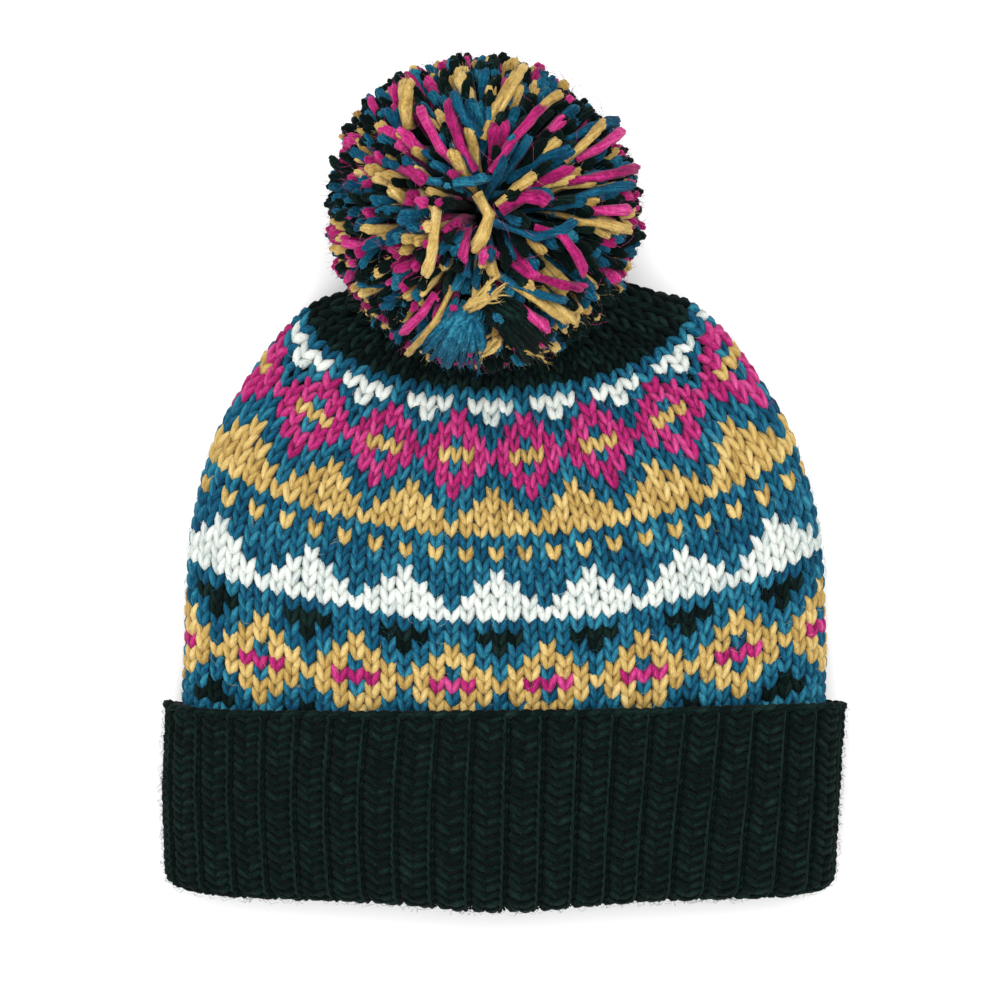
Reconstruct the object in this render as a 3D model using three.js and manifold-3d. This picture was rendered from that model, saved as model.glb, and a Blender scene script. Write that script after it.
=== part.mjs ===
// A bobble hat lying flat on its back: a knitted body, a deep turned-up ribbed cuff and a yarn pompom.
// Millimetres, +Z up. The hat rests on the plane Z = 0, its rim towards -Y and its pompom towards +Y.

import * as THREE from "three";
import { mergeVertices } from "three/addons/utils/BufferGeometryUtils.js";
import Module from "manifold-3d";

// Knitted body
const BODY_WIDTH = 226.8; // across its widest courses, laid flat
const BODY_HEIGHT = 41; // between its two faces, laid flat
const HAT_LENGTH = 219.9; // from the cuff's fold to the crown, along the middle
const KNIT_WALL = 4; // thickness of the two-colour knitting

// Ribbed cuff
const CUFF_DEPTH = 67.2; // from its fold to its upper edge
const CUFF_LAYER = 5; // thickness of one layer of ribbing
const RIB_WIDTH = 11.8; // from one rib to the next
const RIB_RELIEF = 0.7; // how far a rib stands out, and its groove lies in
const CUFF_OVERLAP = 29.5; // how far the body reaches down behind the turned-up layer

// Pompom
const POMPOM_RADIUS = 56;
const POMPOM_SIDE = -6.5; // its centre lies this far off the hat's middle
const POMPOM_RELIEF = 3; // the most that one lock stands beyond another
const LOCK_WIDTH = 24; // across one lock of strands

// Fits
const SEAT_GAP = 0.4; // between two pieces that touch
const SETTLE_LENGTH = 30; // over which the body's underside comes down from the cuff to the ground

// Shape of a cross-section: how square its two faces are, and where its side lies between them
const UPPER_SQUARENESS = 2.3;
const UNDER_SQUARENESS = 4;
const SIDE_LEVEL = 0.42;
const OUTLINE_SAMPLES = 720;
const PRESSED = -0.03; // the share of BODY_HEIGHT that the ground presses flat

// Meshing
const COLUMNS_PER_RIB = 3;
const LOCK_SIDES = 5;
const COURSE_STEP = 0.25; // for the slope of the body's outline

// Sections of the body, a row for each, numbered by the knitted course that they follow.
// along: place in the middle, as a share of HAT_LENGTH from the fold. rise: how much higher its sides lie, lean:
// how much higher its right side lies than the middle, and shift: how far it lies to the right, shares of
// BODY_WIDTH. width: share of BODY_WIDTH. top, under: heights of the faces, shares of BODY_HEIGHT.
// round: 0 where it dips as a parabola, 1 as an ellipse.
const BODY_COLUMNS = ["course", "along", "rise", "lean", "width", "top", "under", "round", "shift"];
const BODY_SECTIONS = [
  [-6, 0.2149, 0.079, 0.006, 1.0, 1.0, PRESSED, 0.0, 0.0],
  [0, 0.331, 0.0816, 0.009, 0.997, 1.0, PRESSED, 0.0, 0.0035],
  [6, 0.4431, 0.1034, 0.007, 0.988, 0.99, PRESSED, 0.1, 0.003],
  [13, 0.578, 0.1312, 0.0065, 0.916, 0.93, PRESSED, 0.35, -0.001],
  [19, 0.6933, 0.168, 0.008, 0.752, 0.83, PRESSED, 0.7, -0.0055],
  [25, 0.8119, 0.136, 0.004, 0.6, 0.73, -0.02, 1.0, -0.0066],
  [28, 0.8629, 0.1064, 0.0, 0.49, 0.69, 0.07, 1.0, -0.0066],
  [31, 0.9134, 0.076, 0.0, 0.35, 0.63, 0.16, 1.0, -0.0066],
  [34, 0.967, 0.034, 0.0, 0.175, 0.56, 0.26, 1.0, -0.0066],
  [36, 1.0, 0.0, 0.0, 0.0, 0.41, 0.41, 1.0, -0.0066],
];
const OUTER_COURSES = [-6, -3, 0, 3, 6, 9.5, 13, 16, 19, 22, 25, 27, 29, 31, 33, 34.5, 35.5];
const INNER_COURSES = [-6, 0, 6, 13, 18, 22, 26, 30, 33];
const APEX_COURSE = 36;

// Sections of the cuff. depth: share of CUFF_DEPTH above the fold. rise, lean, width, top, shift: as for the body.
// left, right: how much higher still its two ends lie, and belly: how much lower its middle, shares of BODY_WIDTH.
const CUFF_COLUMNS = ["depth", "rise", "lean", "width", "top", "shift", "left", "right", "belly"];
const CUFF_SECTIONS = [
  [0.0, 0.003, 0.0, 0.993, 0.82, -0.005, 0.014, 0.01, 0.0165],
  [0.3, 0.005, 0.0, 1.0, 0.93, -0.005, 0.006, 0.005, 0.011],
  [0.6, 0.006, 0.003, 1.006, 1.0, -0.003, 0.0, 0.0, 0.005],
  [1.0, 0.004, 0.006, 1.008, 1.0, 0.003, 0.011, -0.004, 0.0],
];
const CORNER_SHARPNESS = 14;
const BELLY_REACH = 0.33; // of the half-width

// Colours from the photo
const BODY_COLOUR = 0x1f6f8c;
const CUFF_COLOUR = 0x0e2a28;
const POMPOM_COLOUR = 0xb03a78;

// The pompom sits across the crown, its centre a little beyond it, and is pressed flat where it rests.
const POMPOM_BEYOND = 0.34 * POMPOM_RADIUS;
const POMPOM_LEVEL = 0.9 * POMPOM_RADIUS;
const POMPOM_CORE = 0.86 * POMPOM_RADIUS;
const FOLD_SAG = CUFF_SECTIONS[0].at(-1) * BODY_WIDTH;
const TOTAL_LENGTH = FOLD_SAG + HAT_LENGTH + POMPOM_BEYOND + POMPOM_RADIUS;
const FOLD_Y = FOLD_SAG - TOTAL_LENGTH / 2;
const CROWN_Y = FOLD_Y + HAT_LENGTH;
const BODY_EDGE_UP = CUFF_DEPTH - CUFF_OVERLAP;

const wasm = await Module();
wasm.setup();

// A value of one column at any place along a table, on a smooth curve that never overshoots its rows.
function tableValue(rows, column, place) {
  const last = rows.length - 1;
  let i = 0;
  while (i < last - 1 && place > rows[i + 1][0]) i += 1;
  const slope = (k) => (rows[k + 1][column] - rows[k][column]) / (rows[k + 1][0] - rows[k][0]);
  const tangent = (k) => {
    if (k === 0) return slope(0);
    if (k === last) return slope(last - 1);
    const [before, after] = [slope(k - 1), slope(k)];
    return before * after <= 0 ? 0 : (2 * before * after) / (before + after);
  };
  const span = rows[i + 1][0] - rows[i][0];
  const t = THREE.MathUtils.clamp((place - rows[i][0]) / span, 0, 1);
  const [t2, t3] = [t * t, t * t * t];
  return (
    (2 * t3 - 3 * t2 + 1) * rows[i][column] +
    (t3 - 2 * t2 + t) * span * tangent(i) +
    (3 * t2 - 2 * t3) * rows[i + 1][column] +
    (t3 - t2) * span * tangent(i + 1)
  );
}

function tableRow(rows, columns, place) {
  return Object.fromEntries(columns.map((name, k) => [name, tableValue(rows, k, place)]));
}

// How far the body's underside is held off the ground by the cuff's layer under it.
const CUFF_TOP_Y = FOLD_Y + CUFF_DEPTH + CUFF_SECTIONS.at(-1)[1] * BODY_WIDTH;
function liftAt(y) {
  const away = THREE.MathUtils.smoothstep(y, CUFF_TOP_Y + SEAT_GAP, CUFF_TOP_Y + SETTLE_LENGTH);
  return (1 - away) * (CUFF_LAYER + SEAT_GAP + RIB_RELIEF);
}

function formOf(row, y) {
  const form = {
    y,
    rise: row.rise * BODY_WIDTH,
    lean: row.lean * BODY_WIDTH,
    halfWidth: (row.width * BODY_WIDTH) / 2,
    top: row.top * BODY_HEIGHT,
    under: (row.under ?? PRESSED) * BODY_HEIGHT,
    round: row.round ?? 0,
    shift: row.shift * BODY_WIDTH,
    left: (row.left ?? 0) * BODY_WIDTH,
    right: (row.right ?? 0) * BODY_WIDTH,
    belly: (row.belly ?? 0) * BODY_WIDTH,
  };
  form.side = form.under + SIDE_LEVEL * (form.top - form.under);
  return form;
}

function bodyForm(course) {
  const row = tableRow(BODY_SECTIONS, BODY_COLUMNS, course);
  return formOf(row, FOLD_Y + row.along * HAT_LENGTH);
}

function cuffForm(up) {
  return formOf(tableRow(CUFF_SECTIONS, CUFF_COLUMNS, up / CUFF_DEPTH), FOLD_Y + up);
}

// The body's form moved in by a depth (out, where it is negative), square to its outline and to its faces.
function insetBodyForm(course, depth) {
  const form = bodyForm(course);
  const [a, b] = [bodyForm(course - COURSE_STEP), bodyForm(Math.min(course + COURSE_STEP, APEX_COURSE))];
  const outline = new THREE.Vector2(b.halfWidth - a.halfWidth, b.y + b.rise - a.y - a.rise).normalize();
  const upper = new THREE.Vector2(b.top - a.top, b.y - a.y).normalize();
  const lower = new THREE.Vector2(b.under - a.under, b.y - a.y).normalize();
  const sideY = form.y + form.rise + depth * outline.x;
  form.y += depth * upper.x;
  form.rise = sideY - form.y;
  form.halfWidth = Math.max(form.halfWidth - depth * outline.y, 0);
  form.top -= depth * upper.y;
  form.under += depth * lower.y;
  return form;
}

// Outline of a section as places spread evenly along its length, from the middle of the upper face towards +X.
// across: share of the half-width. up: share of the height from the side to the upper or the under face.
function evenOutline(form, count) {
  const places = [];
  const lengths = [0];
  for (let k = 0; k <= OUTLINE_SAMPLES; k += 1) {
    const angle = (2 * Math.PI * k) / OUTLINE_SAMPLES;
    const [s, c] = [Math.sin(angle), Math.cos(angle)];
    const power = 2 / (c >= 0 ? UPPER_SQUARENESS : UNDER_SQUARENESS);
    const place = { across: Math.sign(s) * Math.abs(s) ** power, up: Math.sign(c) * Math.abs(c) ** power };
    const height = place.up * (c >= 0 ? form.top - form.side : form.side - form.under);
    if (k > 0) {
      const before = places[k - 1];
      lengths.push(lengths[k - 1] + Math.hypot(form.halfWidth * (place.across - before.across), height - before.height));
    }
    places.push({ ...place, height });
  }
  const even = [];
  let k = 0;
  for (let i = 0; i < count; i += 1) {
    const wanted = (lengths[OUTLINE_SAMPLES] * i) / count;
    while (lengths[k + 1] < wanted) k += 1;
    const t = (wanted - lengths[k]) / (lengths[k + 1] - lengths[k]);
    even.push({
      across: THREE.MathUtils.lerp(places[k].across, places[k + 1].across, t),
      up: THREE.MathUtils.lerp(places[k].up, places[k + 1].up, t),
    });
  }
  return even;
}

// One ring of points on a form. out: how far each column lies outside it. The ground flattens what it meets.
function ringOf(form, count, out = () => 0) {
  return evenOutline(form, count).map(({ across, up }, i) => {
    const share = 1 - across * across;
    const dip = (1 - form.round) * share + form.round * Math.sqrt(Math.max(share, 0));
    const ends = (across < 0 ? form.left : form.right) * across ** CORNER_SHARPNESS;
    const sag = form.belly * Math.exp(-((across / BELLY_REACH) ** 2));
    const x = form.shift + (form.halfWidth + out(i)) * across;
    const y = form.y + form.rise * (1 - dip) + form.lean * across + ends - sag;
    const upper = form.top + out(i) - form.side;
    const lower = form.side - Math.max(form.under + liftAt(y) - out(i), 0);
    return new THREE.Vector3(x, y, form.side + up * (up >= 0 ? upper : lower));
  });
}

// A closed body through rings of equal count: either closed on itself, or closed by a point at each end.
function loft(rings, ends = null) {
  const count = rings[0].length;
  const points = rings.flat();
  const triangles = [];
  const strips = ends ? rings.length - 1 : rings.length;
  for (let r = 0; r < strips; r += 1) {
    const [here, next] = [r * count, ((r + 1) % rings.length) * count];
    for (let i = 0; i < count; i += 1) {
      const j = (i + 1) % count;
      triangles.push([here + i, here + j, next + j], [here + i, next + j, next + i]);
    }
  }
  if (ends) {
    const top = (rings.length - 1) * count;
    for (let i = 0; i < count; i += 1) {
      const j = (i + 1) % count;
      triangles.push([points.length, j, i], [points.length + 1, top + i, top + j]);
    }
    points.push(...ends);
  }
  const geometry = new THREE.BufferGeometry().setFromPoints(points);
  geometry.setIndex(triangles.flat());
  return geometry;
}

function solidOf(geometry) {
  geometry.deleteAttribute("normal");
  geometry.deleteAttribute("uv");
  const merged = mergeVertices(geometry);
  const vertProperties = new Float32Array(merged.attributes.position.array);
  const triVerts = new Uint32Array(merged.index.array);
  const solid = new wasm.Manifold(new wasm.Mesh({ numProp: 3, vertProperties, triVerts }));
  if (solid.volume() > 0) return solid;
  for (let i = 0; i < triVerts.length; i += 3) {
    [triVerts[i + 1], triVerts[i + 2]] = [triVerts[i + 2], triVerts[i + 1]];
  }
  return new wasm.Manifold(new wasm.Mesh({ numProp: 3, vertProperties, triVerts }));
}

function meshOf(name, solid, colour) {
  const made = solid.getMesh();
  const geometry = new THREE.BufferGeometry();
  geometry.setAttribute("position", new THREE.BufferAttribute(made.vertProperties, 3));
  geometry.setIndex(new THREE.BufferAttribute(made.triVerts, 1));
  geometry.computeVertexNormals();
  const material = new THREE.MeshStandardMaterial({ color: colour, roughness: 0.95, metalness: 0 });
  const mesh = new THREE.Mesh(geometry, material);
  mesh.name = name;
  return mesh;
}

function perimeterOf(form) {
  const ring = ringOf(form, OUTLINE_SAMPLES / 2);
  return ring.reduce((sum, point, i) => sum + point.distanceTo(ring[(i + 1) % ring.length]), 0);
}
const RIB_COUNT = 2 * Math.round(perimeterOf(bodyForm(0)) / RIB_WIDTH / 2);
const CUFF_RING = RIB_COUNT * COLUMNS_PER_RIB;
const BODY_RING = CUFF_RING / 2;

// The lower edge of the body and the upper edge of the cuff's inner layer meet on one curve.
function bodyEdgeForm(depth) {
  const form = cuffForm(BODY_EDGE_UP);
  form.halfWidth -= depth;
  form.top -= depth;
  form.under += depth;
  return form;
}

function bodySolid() {
  const inner = INNER_COURSES.map((course) => ringOf(insetBodyForm(course, KNIT_WALL), BODY_RING)).reverse();
  const outer = OUTER_COURSES.map((course) => ringOf(bodyForm(course), BODY_RING));
  const edges = [ringOf(bodyEdgeForm(KNIT_WALL), BODY_RING), ringOf(bodyEdgeForm(0), BODY_RING)];
  const innermost = insetBodyForm(INNER_COURSES.at(-1), KNIT_WALL);
  const innerEnd = new THREE.Vector3(innermost.shift, innermost.y + innermost.rise, innermost.side);
  const apex = bodyForm(APEX_COURSE);
  const outerEnd = new THREE.Vector3(apex.shift, apex.y, apex.side);
  return solidOf(loft([...inner, ...edges, ...outer], [innerEnd, outerEnd]));
}

// What the pompom leaves free for the crown: the body's outer form, a seat gap larger, and all that is under it.
function crownRoom() {
  const rings = OUTER_COURSES.map((course) => ringOf(insetBodyForm(course, -SEAT_GAP), BODY_RING));
  const first = bodyForm(OUTER_COURSES[0]);
  const apex = bodyForm(APEX_COURSE);
  const ends = [
    new THREE.Vector3(first.shift, first.y, first.side),
    new THREE.Vector3(apex.shift, apex.y + SEAT_GAP, apex.side),
  ];
  return solidOf(loft(rings, ends));
}

// Profile of the cuff, round the turned-up layer, the fold and the inner layer.
// out: outside the body's surface. up: above the fold. ribbed: how much of the rib relief it has.
function cuffProfile() {
  const slit = SEAT_GAP;
  const outside = slit + CUFF_LAYER;
  const middle = (outside - CUFF_LAYER) / 2;
  const bend = outside - middle;
  const bevel = CUFF_LAYER * 0.3;
  const foldPoints = [0.0, 0.33, 0.67, 1.0].map((turn) => ({
    out: middle + bend * Math.cos(Math.PI * turn),
    up: bend * (1 - Math.sin(Math.PI * turn)),
    ribbed: 1 - turn,
  }));
  const innerTop = BODY_EDGE_UP - SEAT_GAP;
  return [
    { out: outside - bevel, up: CUFF_DEPTH, ribbed: 0.3 },
    { out: outside, up: CUFF_DEPTH - bevel, ribbed: 0.6 },
    { out: outside, up: CUFF_DEPTH * 0.66, ribbed: 1 },
    { out: outside, up: CUFF_DEPTH * 0.33, ribbed: 1 },
    ...foldPoints,
    { out: -CUFF_LAYER, up: innerTop, ribbed: 0 },
    { out: 0, up: innerTop, ribbed: 0 },
    { out: 0, up: CUFF_LAYER, ribbed: 0 },
    { out: slit, up: CUFF_LAYER, ribbed: 0 },
    { out: slit, up: innerTop - SEAT_GAP, ribbed: 0 },
    { out: slit, up: CUFF_DEPTH - bevel, ribbed: 0 },
    { out: slit + bevel, up: CUFF_DEPTH, ribbed: 0 },
  ];
}

// Each rib has two columns on its crest and one in the groove beside it.
function cuffSolid() {
  const relief = (column) => (column % COLUMNS_PER_RIB === 0 ? -RIB_RELIEF : RIB_RELIEF / 2);
  const rings = cuffProfile().map(({ out, up, ribbed }) =>
    ringOf(cuffForm(up), CUFF_RING, (column) => out + ribbed * relief(column)),
  );
  return solidOf(loft(rings));
}

// Directions spread evenly over a ball.
function evenDirections(count) {
  const turn = Math.PI * (3 - Math.sqrt(5));
  return Array.from({ length: count }, (_, k) => {
    const z = 1 - (2 * k + 1) / count;
    const r = Math.sqrt(1 - z * z);
    return new THREE.Vector3(r * Math.cos(turn * k), r * Math.sin(turn * k), z);
  });
}

// A tapering lock of strands with a blunt rounded end, from the pompom's middle outwards.
function lockGeometry(direction, reach) {
  const tip = LOCK_WIDTH / 2;
  const profile = [
    new THREE.Vector2(0, reach * 0.5),
    new THREE.Vector2(tip * 0.6, reach * 0.5),
    new THREE.Vector2(tip, reach - tip * 0.4),
    new THREE.Vector2(0, reach),
  ];
  const turned = new THREE.Quaternion().setFromUnitVectors(new THREE.Vector3(0, 1, 0), direction);
  return new THREE.LatheGeometry(profile, LOCK_SIDES).applyQuaternion(turned);
}

function pompomSolid() {
  const centre = new THREE.Vector3(POMPOM_SIDE, CROWN_Y + POMPOM_BEYOND, POMPOM_LEVEL);
  const lockCount = Math.round((4 * Math.PI * POMPOM_RADIUS ** 2) / (LOCK_WIDTH ** 2 * 1.05));
  let ball = solidOf(new THREE.IcosahedronGeometry(POMPOM_CORE, 2));
  evenDirections(lockCount).forEach((direction, k) => {
    const shorter = (POMPOM_RELIEF * ((k * 7) % 10)) / 10;
    ball = ball.add(solidOf(lockGeometry(direction, POMPOM_RADIUS - shorter)));
  });
  const deep = 4 * POMPOM_RADIUS;
  const ground = new THREE.BoxGeometry(deep, deep, deep).translate(centre.x, centre.y, -deep / 2);
  const pieces = ball
    .translate([centre.x, centre.y, centre.z])
    .subtract(solidOf(ground))
    .subtract(crownRoom())
    .decompose();
  return pieces.sort((a, b) => b.volume() - a.volume())[0];
}

const hat = new THREE.Group();
hat.add(meshOf("knit_body", bodySolid(), BODY_COLOUR));
hat.add(meshOf("cuff", cuffSolid(), CUFF_COLOUR));
hat.add(meshOf("pompom", pompomSolid(), POMPOM_COLOUR));

export default hat;
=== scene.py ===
"""A knitted bobble hat lying flat on its back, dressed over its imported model.

Metres, +Z up. The rim points towards -Y and the pompom towards +Y, and the camera looks straight down.
"""

import bpy
import numpy as np
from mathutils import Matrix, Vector


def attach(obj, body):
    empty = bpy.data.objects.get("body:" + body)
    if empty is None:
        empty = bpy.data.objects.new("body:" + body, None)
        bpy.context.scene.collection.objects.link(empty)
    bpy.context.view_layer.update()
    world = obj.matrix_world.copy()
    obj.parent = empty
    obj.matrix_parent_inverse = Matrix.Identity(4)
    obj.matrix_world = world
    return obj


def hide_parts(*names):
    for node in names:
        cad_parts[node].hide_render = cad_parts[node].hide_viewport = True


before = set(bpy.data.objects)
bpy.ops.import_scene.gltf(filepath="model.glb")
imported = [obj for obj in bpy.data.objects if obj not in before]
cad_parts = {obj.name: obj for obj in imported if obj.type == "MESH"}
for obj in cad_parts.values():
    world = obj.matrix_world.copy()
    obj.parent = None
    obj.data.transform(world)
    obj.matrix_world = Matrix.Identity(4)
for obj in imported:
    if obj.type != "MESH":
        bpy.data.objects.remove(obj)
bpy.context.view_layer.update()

MM = 0.001
SEED = 11
random = np.random.default_rng(SEED)

# Knitted body
BODY_WIDTH = 226.8 * MM
BODY_HEIGHT = 41 * MM
HAT_LENGTH = 219.9 * MM
KNIT_WALL = 4 * MM

# Ribbed cuff
CUFF_DEPTH = 67.2 * MM
CUFF_LAYER = 5 * MM
CUFF_OVERLAP = 29.5 * MM
RIB_COUNT = 42
RIB_RELIEF = 0.7 * MM

# Pompom
POMPOM_RADIUS = 56 * MM
POMPOM_SIDE = -6.5 * MM
POMPOM_BEYOND = 0.34 * POMPOM_RADIUS
POMPOM_LEVEL = 0.9 * POMPOM_RADIUS

# Fits
SEAT_GAP = 0.4 * MM
SETTLE_LENGTH = 30 * MM

# Shape of a cross-section: how square its two faces are, and where its side lies between them
UPPER_SQUARENESS = 2.3
UNDER_SQUARENESS = 4
SIDE_LEVEL = 0.42
OUTLINE_SAMPLES = 720
PRESSED = -0.03
LOWEST = 0.1 * MM  # over the ground

# Sections of the body, each numbered by the knitted course that it follows.
# along: place in the middle, a share of HAT_LENGTH from the fold.
# rise, lean, shift: how much higher both sides lie than the middle, how much higher still the right one lies,
# and how far the section lies to the right, shares of BODY_WIDTH.
# width: share of BODY_WIDTH. top, under: heights of the faces, shares of BODY_HEIGHT.
# round: 0 where the section dips as a parabola, 1 as an ellipse.
BODY_COLUMNS = ("course", "along", "rise", "lean", "width", "top", "under", "round", "shift")
BODY_SECTIONS = np.array([
    (-6, 0.2149, 0.079, 0.006, 1.0, 1.0, PRESSED, 0.0, 0.0),
    (0, 0.331, 0.0816, 0.009, 0.997, 1.0, PRESSED, 0.0, 0.0035),
    (6, 0.4431, 0.1034, 0.007, 0.988, 0.99, PRESSED, 0.1, 0.003),
    (13, 0.578, 0.1312, 0.0065, 0.916, 0.93, PRESSED, 0.35, -0.001),
    (19, 0.6933, 0.168, 0.008, 0.752, 0.83, PRESSED, 0.7, -0.0055),
    (25, 0.8119, 0.136, 0.004, 0.6, 0.73, -0.02, 1.0, -0.0066),
    (28, 0.8629, 0.1064, 0.0, 0.49, 0.69, 0.07, 1.0, -0.0066),
    (31, 0.9134, 0.076, 0.0, 0.35, 0.63, 0.16, 1.0, -0.0066),
    (34, 0.967, 0.034, 0.0, 0.175, 0.56, 0.26, 1.0, -0.0066),
    (36, 1.0, 0.0, 0.0, 0.0, 0.41, 0.41, 1.0, -0.0066),
])
FIRST_COURSE = -6
APEX_COURSE = 36

# Sections of the cuff. depth: share of CUFF_DEPTH above the fold. rise, lean, width, top, shift: as above.
# left, right, belly: how much higher its two ends lie, and how much lower its middle, shares of BODY_WIDTH.
CUFF_COLUMNS = ("depth", "rise", "lean", "width", "top", "shift", "left", "right", "belly")
CUFF_SECTIONS = np.array([
    (0.0, 0.003, 0.0, 0.993, 0.82, -0.005, 0.014, 0.01, 0.0165),
    (0.3, 0.005, 0.0, 1.0, 0.93, -0.005, 0.006, 0.005, 0.011),
    (0.6, 0.006, 0.003, 1.006, 1.0, -0.003, 0.0, 0.0, 0.005),
    (1.0, 0.004, 0.006, 1.008, 1.0, 0.003, 0.011, -0.004, 0.0),
])
CORNER_SHARPNESS = 14
BELLY_REACH = 0.33  # of the half-width

# Where the hat lies along Y
FOLD_SAG = CUFF_SECTIONS[0, -1] * BODY_WIDTH
TOTAL_LENGTH = FOLD_SAG + HAT_LENGTH + POMPOM_BEYOND + POMPOM_RADIUS
FOLD_Y = FOLD_SAG - TOTAL_LENGTH / 2
CROWN_Y = FOLD_Y + HAT_LENGTH
BODY_EDGE_UP = CUFF_DEPTH - CUFF_OVERLAP

# The pattern of one repeat, counted on the photo, a row for each course from the cuff upwards.
# B blue, M mustard, P pink, W white, G green. Each course starts CHART_START stitches from a flower's middle,
# and the shorter ones follow the decreases: five stitches, then four, three, two and one. The courses hidden
# by the cuff below the first one are like it.
FIRST_CHARTED = -5
CHART = (
    "BBBBBB", "GBBBGG", "BBMBBG", "BMMMBB", "MMBMMB", "MPPPMM", "MMBMMB", "BMMMBB",
    "BBMBBG", "GBBBGG", "BBBBBB", "WWWWWW", "WWBWWW", "WBBBWW", "BBBBBW", "BBBBBB",
    "BMBMBM", "BBBBBB", "MMMMMM", "MMBMMM", "MBBBMM", "BBPBBM", "BPPPBB", "PPBPPB",
    "PMMMPP", "PPBPPB", "BPPPB", "PBWB", "BWWW", "BBBB",
    "GGGG", "GGGG", "GGGG", "GGG", "GGG", "GGG", "GG", "GG", "GG", "G", "G",
)
CHART_START = {6: -2, 5: -2, 4: 0, 3: 0, 2: 0, 1: 0}
REPEATS = 14
STITCHES = 84
STITCHES_A_REPEAT = STITCHES // REPEATS
FLOWER_OFFSET = -3  # a flower's middle lies this many stitches beside the middle of the front

# How one half of a V stitch runs: across, in stitches from its middle; up, in courses; height over the face
# in mm; girth, a share of the yarn's.
LEG_SPINE = np.array([
    (0.03, -0.26, -2.5, 0.5),
    (0.09, 0.03, -1.65, 0.85),
    (0.18, 0.38, -1.05, 1.03),
    (0.28, 0.74, -1.0, 1.04),
    (0.37, 1.08, -1.7, 0.9),
    (0.43, 1.34, -2.9, 0.5),
])
STITCH_WIDTH = 5.7 * MM
COURSE_PITCH = 4.27 * MM
LEG_HALF_WIDTH = 1.4 * MM
LEG_HALF_HEIGHT = 1.15 * MM
YARN_SIDES = 5
PLUMPNESS = {"B": 0.98, "G": 0.98, "P": 1.02, "M": 1.05, "W": 1.08}  # of a yarn's legs, beside the others
PLIES = 3
PLY_RELIEF = 0.05
LEG_TWIST = 110.0  # radians a metre
BACKING_DEPTH = 2.5 * MM

SHORTEST = 1e-12
LAST_ROW_MARGIN = 0.001  # in rows, so that a look-up on a surface's last row still has a row after it
STEEP = 0.8  # of a tube's direction: from here on its first side is taken from +X


def smooth_step(x):
    """From 0 to 1 as x does, with level ends."""
    t = np.clip(x, 0, 1)
    return t * t * (3 - 2 * t)


def unit(vectors):
    """The same directions with a length of 1."""
    length = np.linalg.norm(vectors, axis=-1, keepdims=True)
    return vectors / np.maximum(length, SHORTEST)


def table_value(rows, column, places):
    """Values of one column anywhere along a table, on a smooth curve that never overshoots its rows."""
    keys = rows[:, 0]
    values = rows[:, column]
    slopes = np.diff(values) / np.diff(keys)
    before = slopes[:-1]
    after = slopes[1:]
    same_way = before * after > 0
    inner = np.where(same_way, 2 * before * after / np.where(same_way, before + after, 1), 0)
    tangents = np.concatenate(([slopes[0]], inner, [slopes[-1]]))
    places = np.asarray(places, float)
    i = np.clip(np.searchsorted(keys, places) - 1, 0, len(keys) - 2)
    span = keys[i + 1] - keys[i]
    t = np.clip((places - keys[i]) / span, 0, 1)
    t2 = t * t
    t3 = t2 * t
    start = (2 * t3 - 3 * t2 + 1) * values[i] + (t3 - 2 * t2 + t) * span * tangents[i]
    end = (3 * t2 - 2 * t3) * values[i + 1] + (t3 - t2) * span * tangents[i + 1]
    return start + end


CUFF_TOP_Y = FOLD_Y + CUFF_DEPTH + CUFF_SECTIONS[-1, 1] * BODY_WIDTH


def lift_at(y):
    """How far the body's underside is held off the ground by the cuff's layer under it."""
    away = smooth_step((y - CUFF_TOP_Y - SEAT_GAP) / (SETTLE_LENGTH - SEAT_GAP))
    return (1 - away) * (CUFF_LAYER + SEAT_GAP + RIB_RELIEF)


def form_of(row, y):
    """Sections as named lengths, from their columns of shares and their places along Y."""
    none = np.zeros_like(y)
    form = {
        "y": y,
        "rise": row["rise"] * BODY_WIDTH,
        "lean": row["lean"] * BODY_WIDTH,
        "shift": row["shift"] * BODY_WIDTH,
        "left": row.get("left", none) * BODY_WIDTH,
        "right": row.get("right", none) * BODY_WIDTH,
        "belly": row.get("belly", none) * BODY_WIDTH,
        "half": row["width"] * BODY_WIDTH / 2,
        "top": row["top"] * BODY_HEIGHT,
        "under": row.get("under", np.full_like(y, PRESSED)) * BODY_HEIGHT,
        "round": row.get("round", none),
    }
    form["side"] = form["under"] + SIDE_LEVEL * (form["top"] - form["under"])
    return form


def body_form(courses):
    """Sections of the body at courses."""
    row = {name: table_value(BODY_SECTIONS, k, courses) for k, name in enumerate(BODY_COLUMNS)}
    return form_of(row, FOLD_Y + row["along"] * HAT_LENGTH)


def cuff_form(ups):
    """Sections of the cuff at distances up from the fold."""
    ups = np.asarray(ups, float)
    row = {name: table_value(CUFF_SECTIONS, k, ups / CUFF_DEPTH) for k, name in enumerate(CUFF_COLUMNS)}
    return form_of(row, FOLD_Y + ups)


def even_outline(form, count):
    """Places across and up the outline of each section, even along its length, from its top towards +X."""
    angle = np.linspace(0, 2 * np.pi, OUTLINE_SAMPLES + 1)
    s = np.sin(angle)
    c = np.cos(angle)
    power = 2 / np.where(c >= 0, UPPER_SQUARENESS, UNDER_SQUARENESS)
    across = np.sign(s) * np.abs(s) ** power
    up = np.sign(c) * np.abs(c) ** power
    above = (form["top"] - form["side"])[:, None]
    below = (form["side"] - form["under"])[:, None]
    heights = up * np.where(c >= 0, above, below)
    steps = np.hypot(form["half"][:, None] * np.diff(across), np.diff(heights, axis=1))
    lengths = np.concatenate((np.zeros((len(steps), 1)), np.cumsum(steps, axis=1)), axis=1)
    wanted = np.arange(count) / count
    even_across = np.array([np.interp(wanted * length[-1], length, across) for length in lengths])
    even_up = np.array([np.interp(wanted * length[-1], length, up) for length in lengths])
    return even_across, even_up


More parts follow.
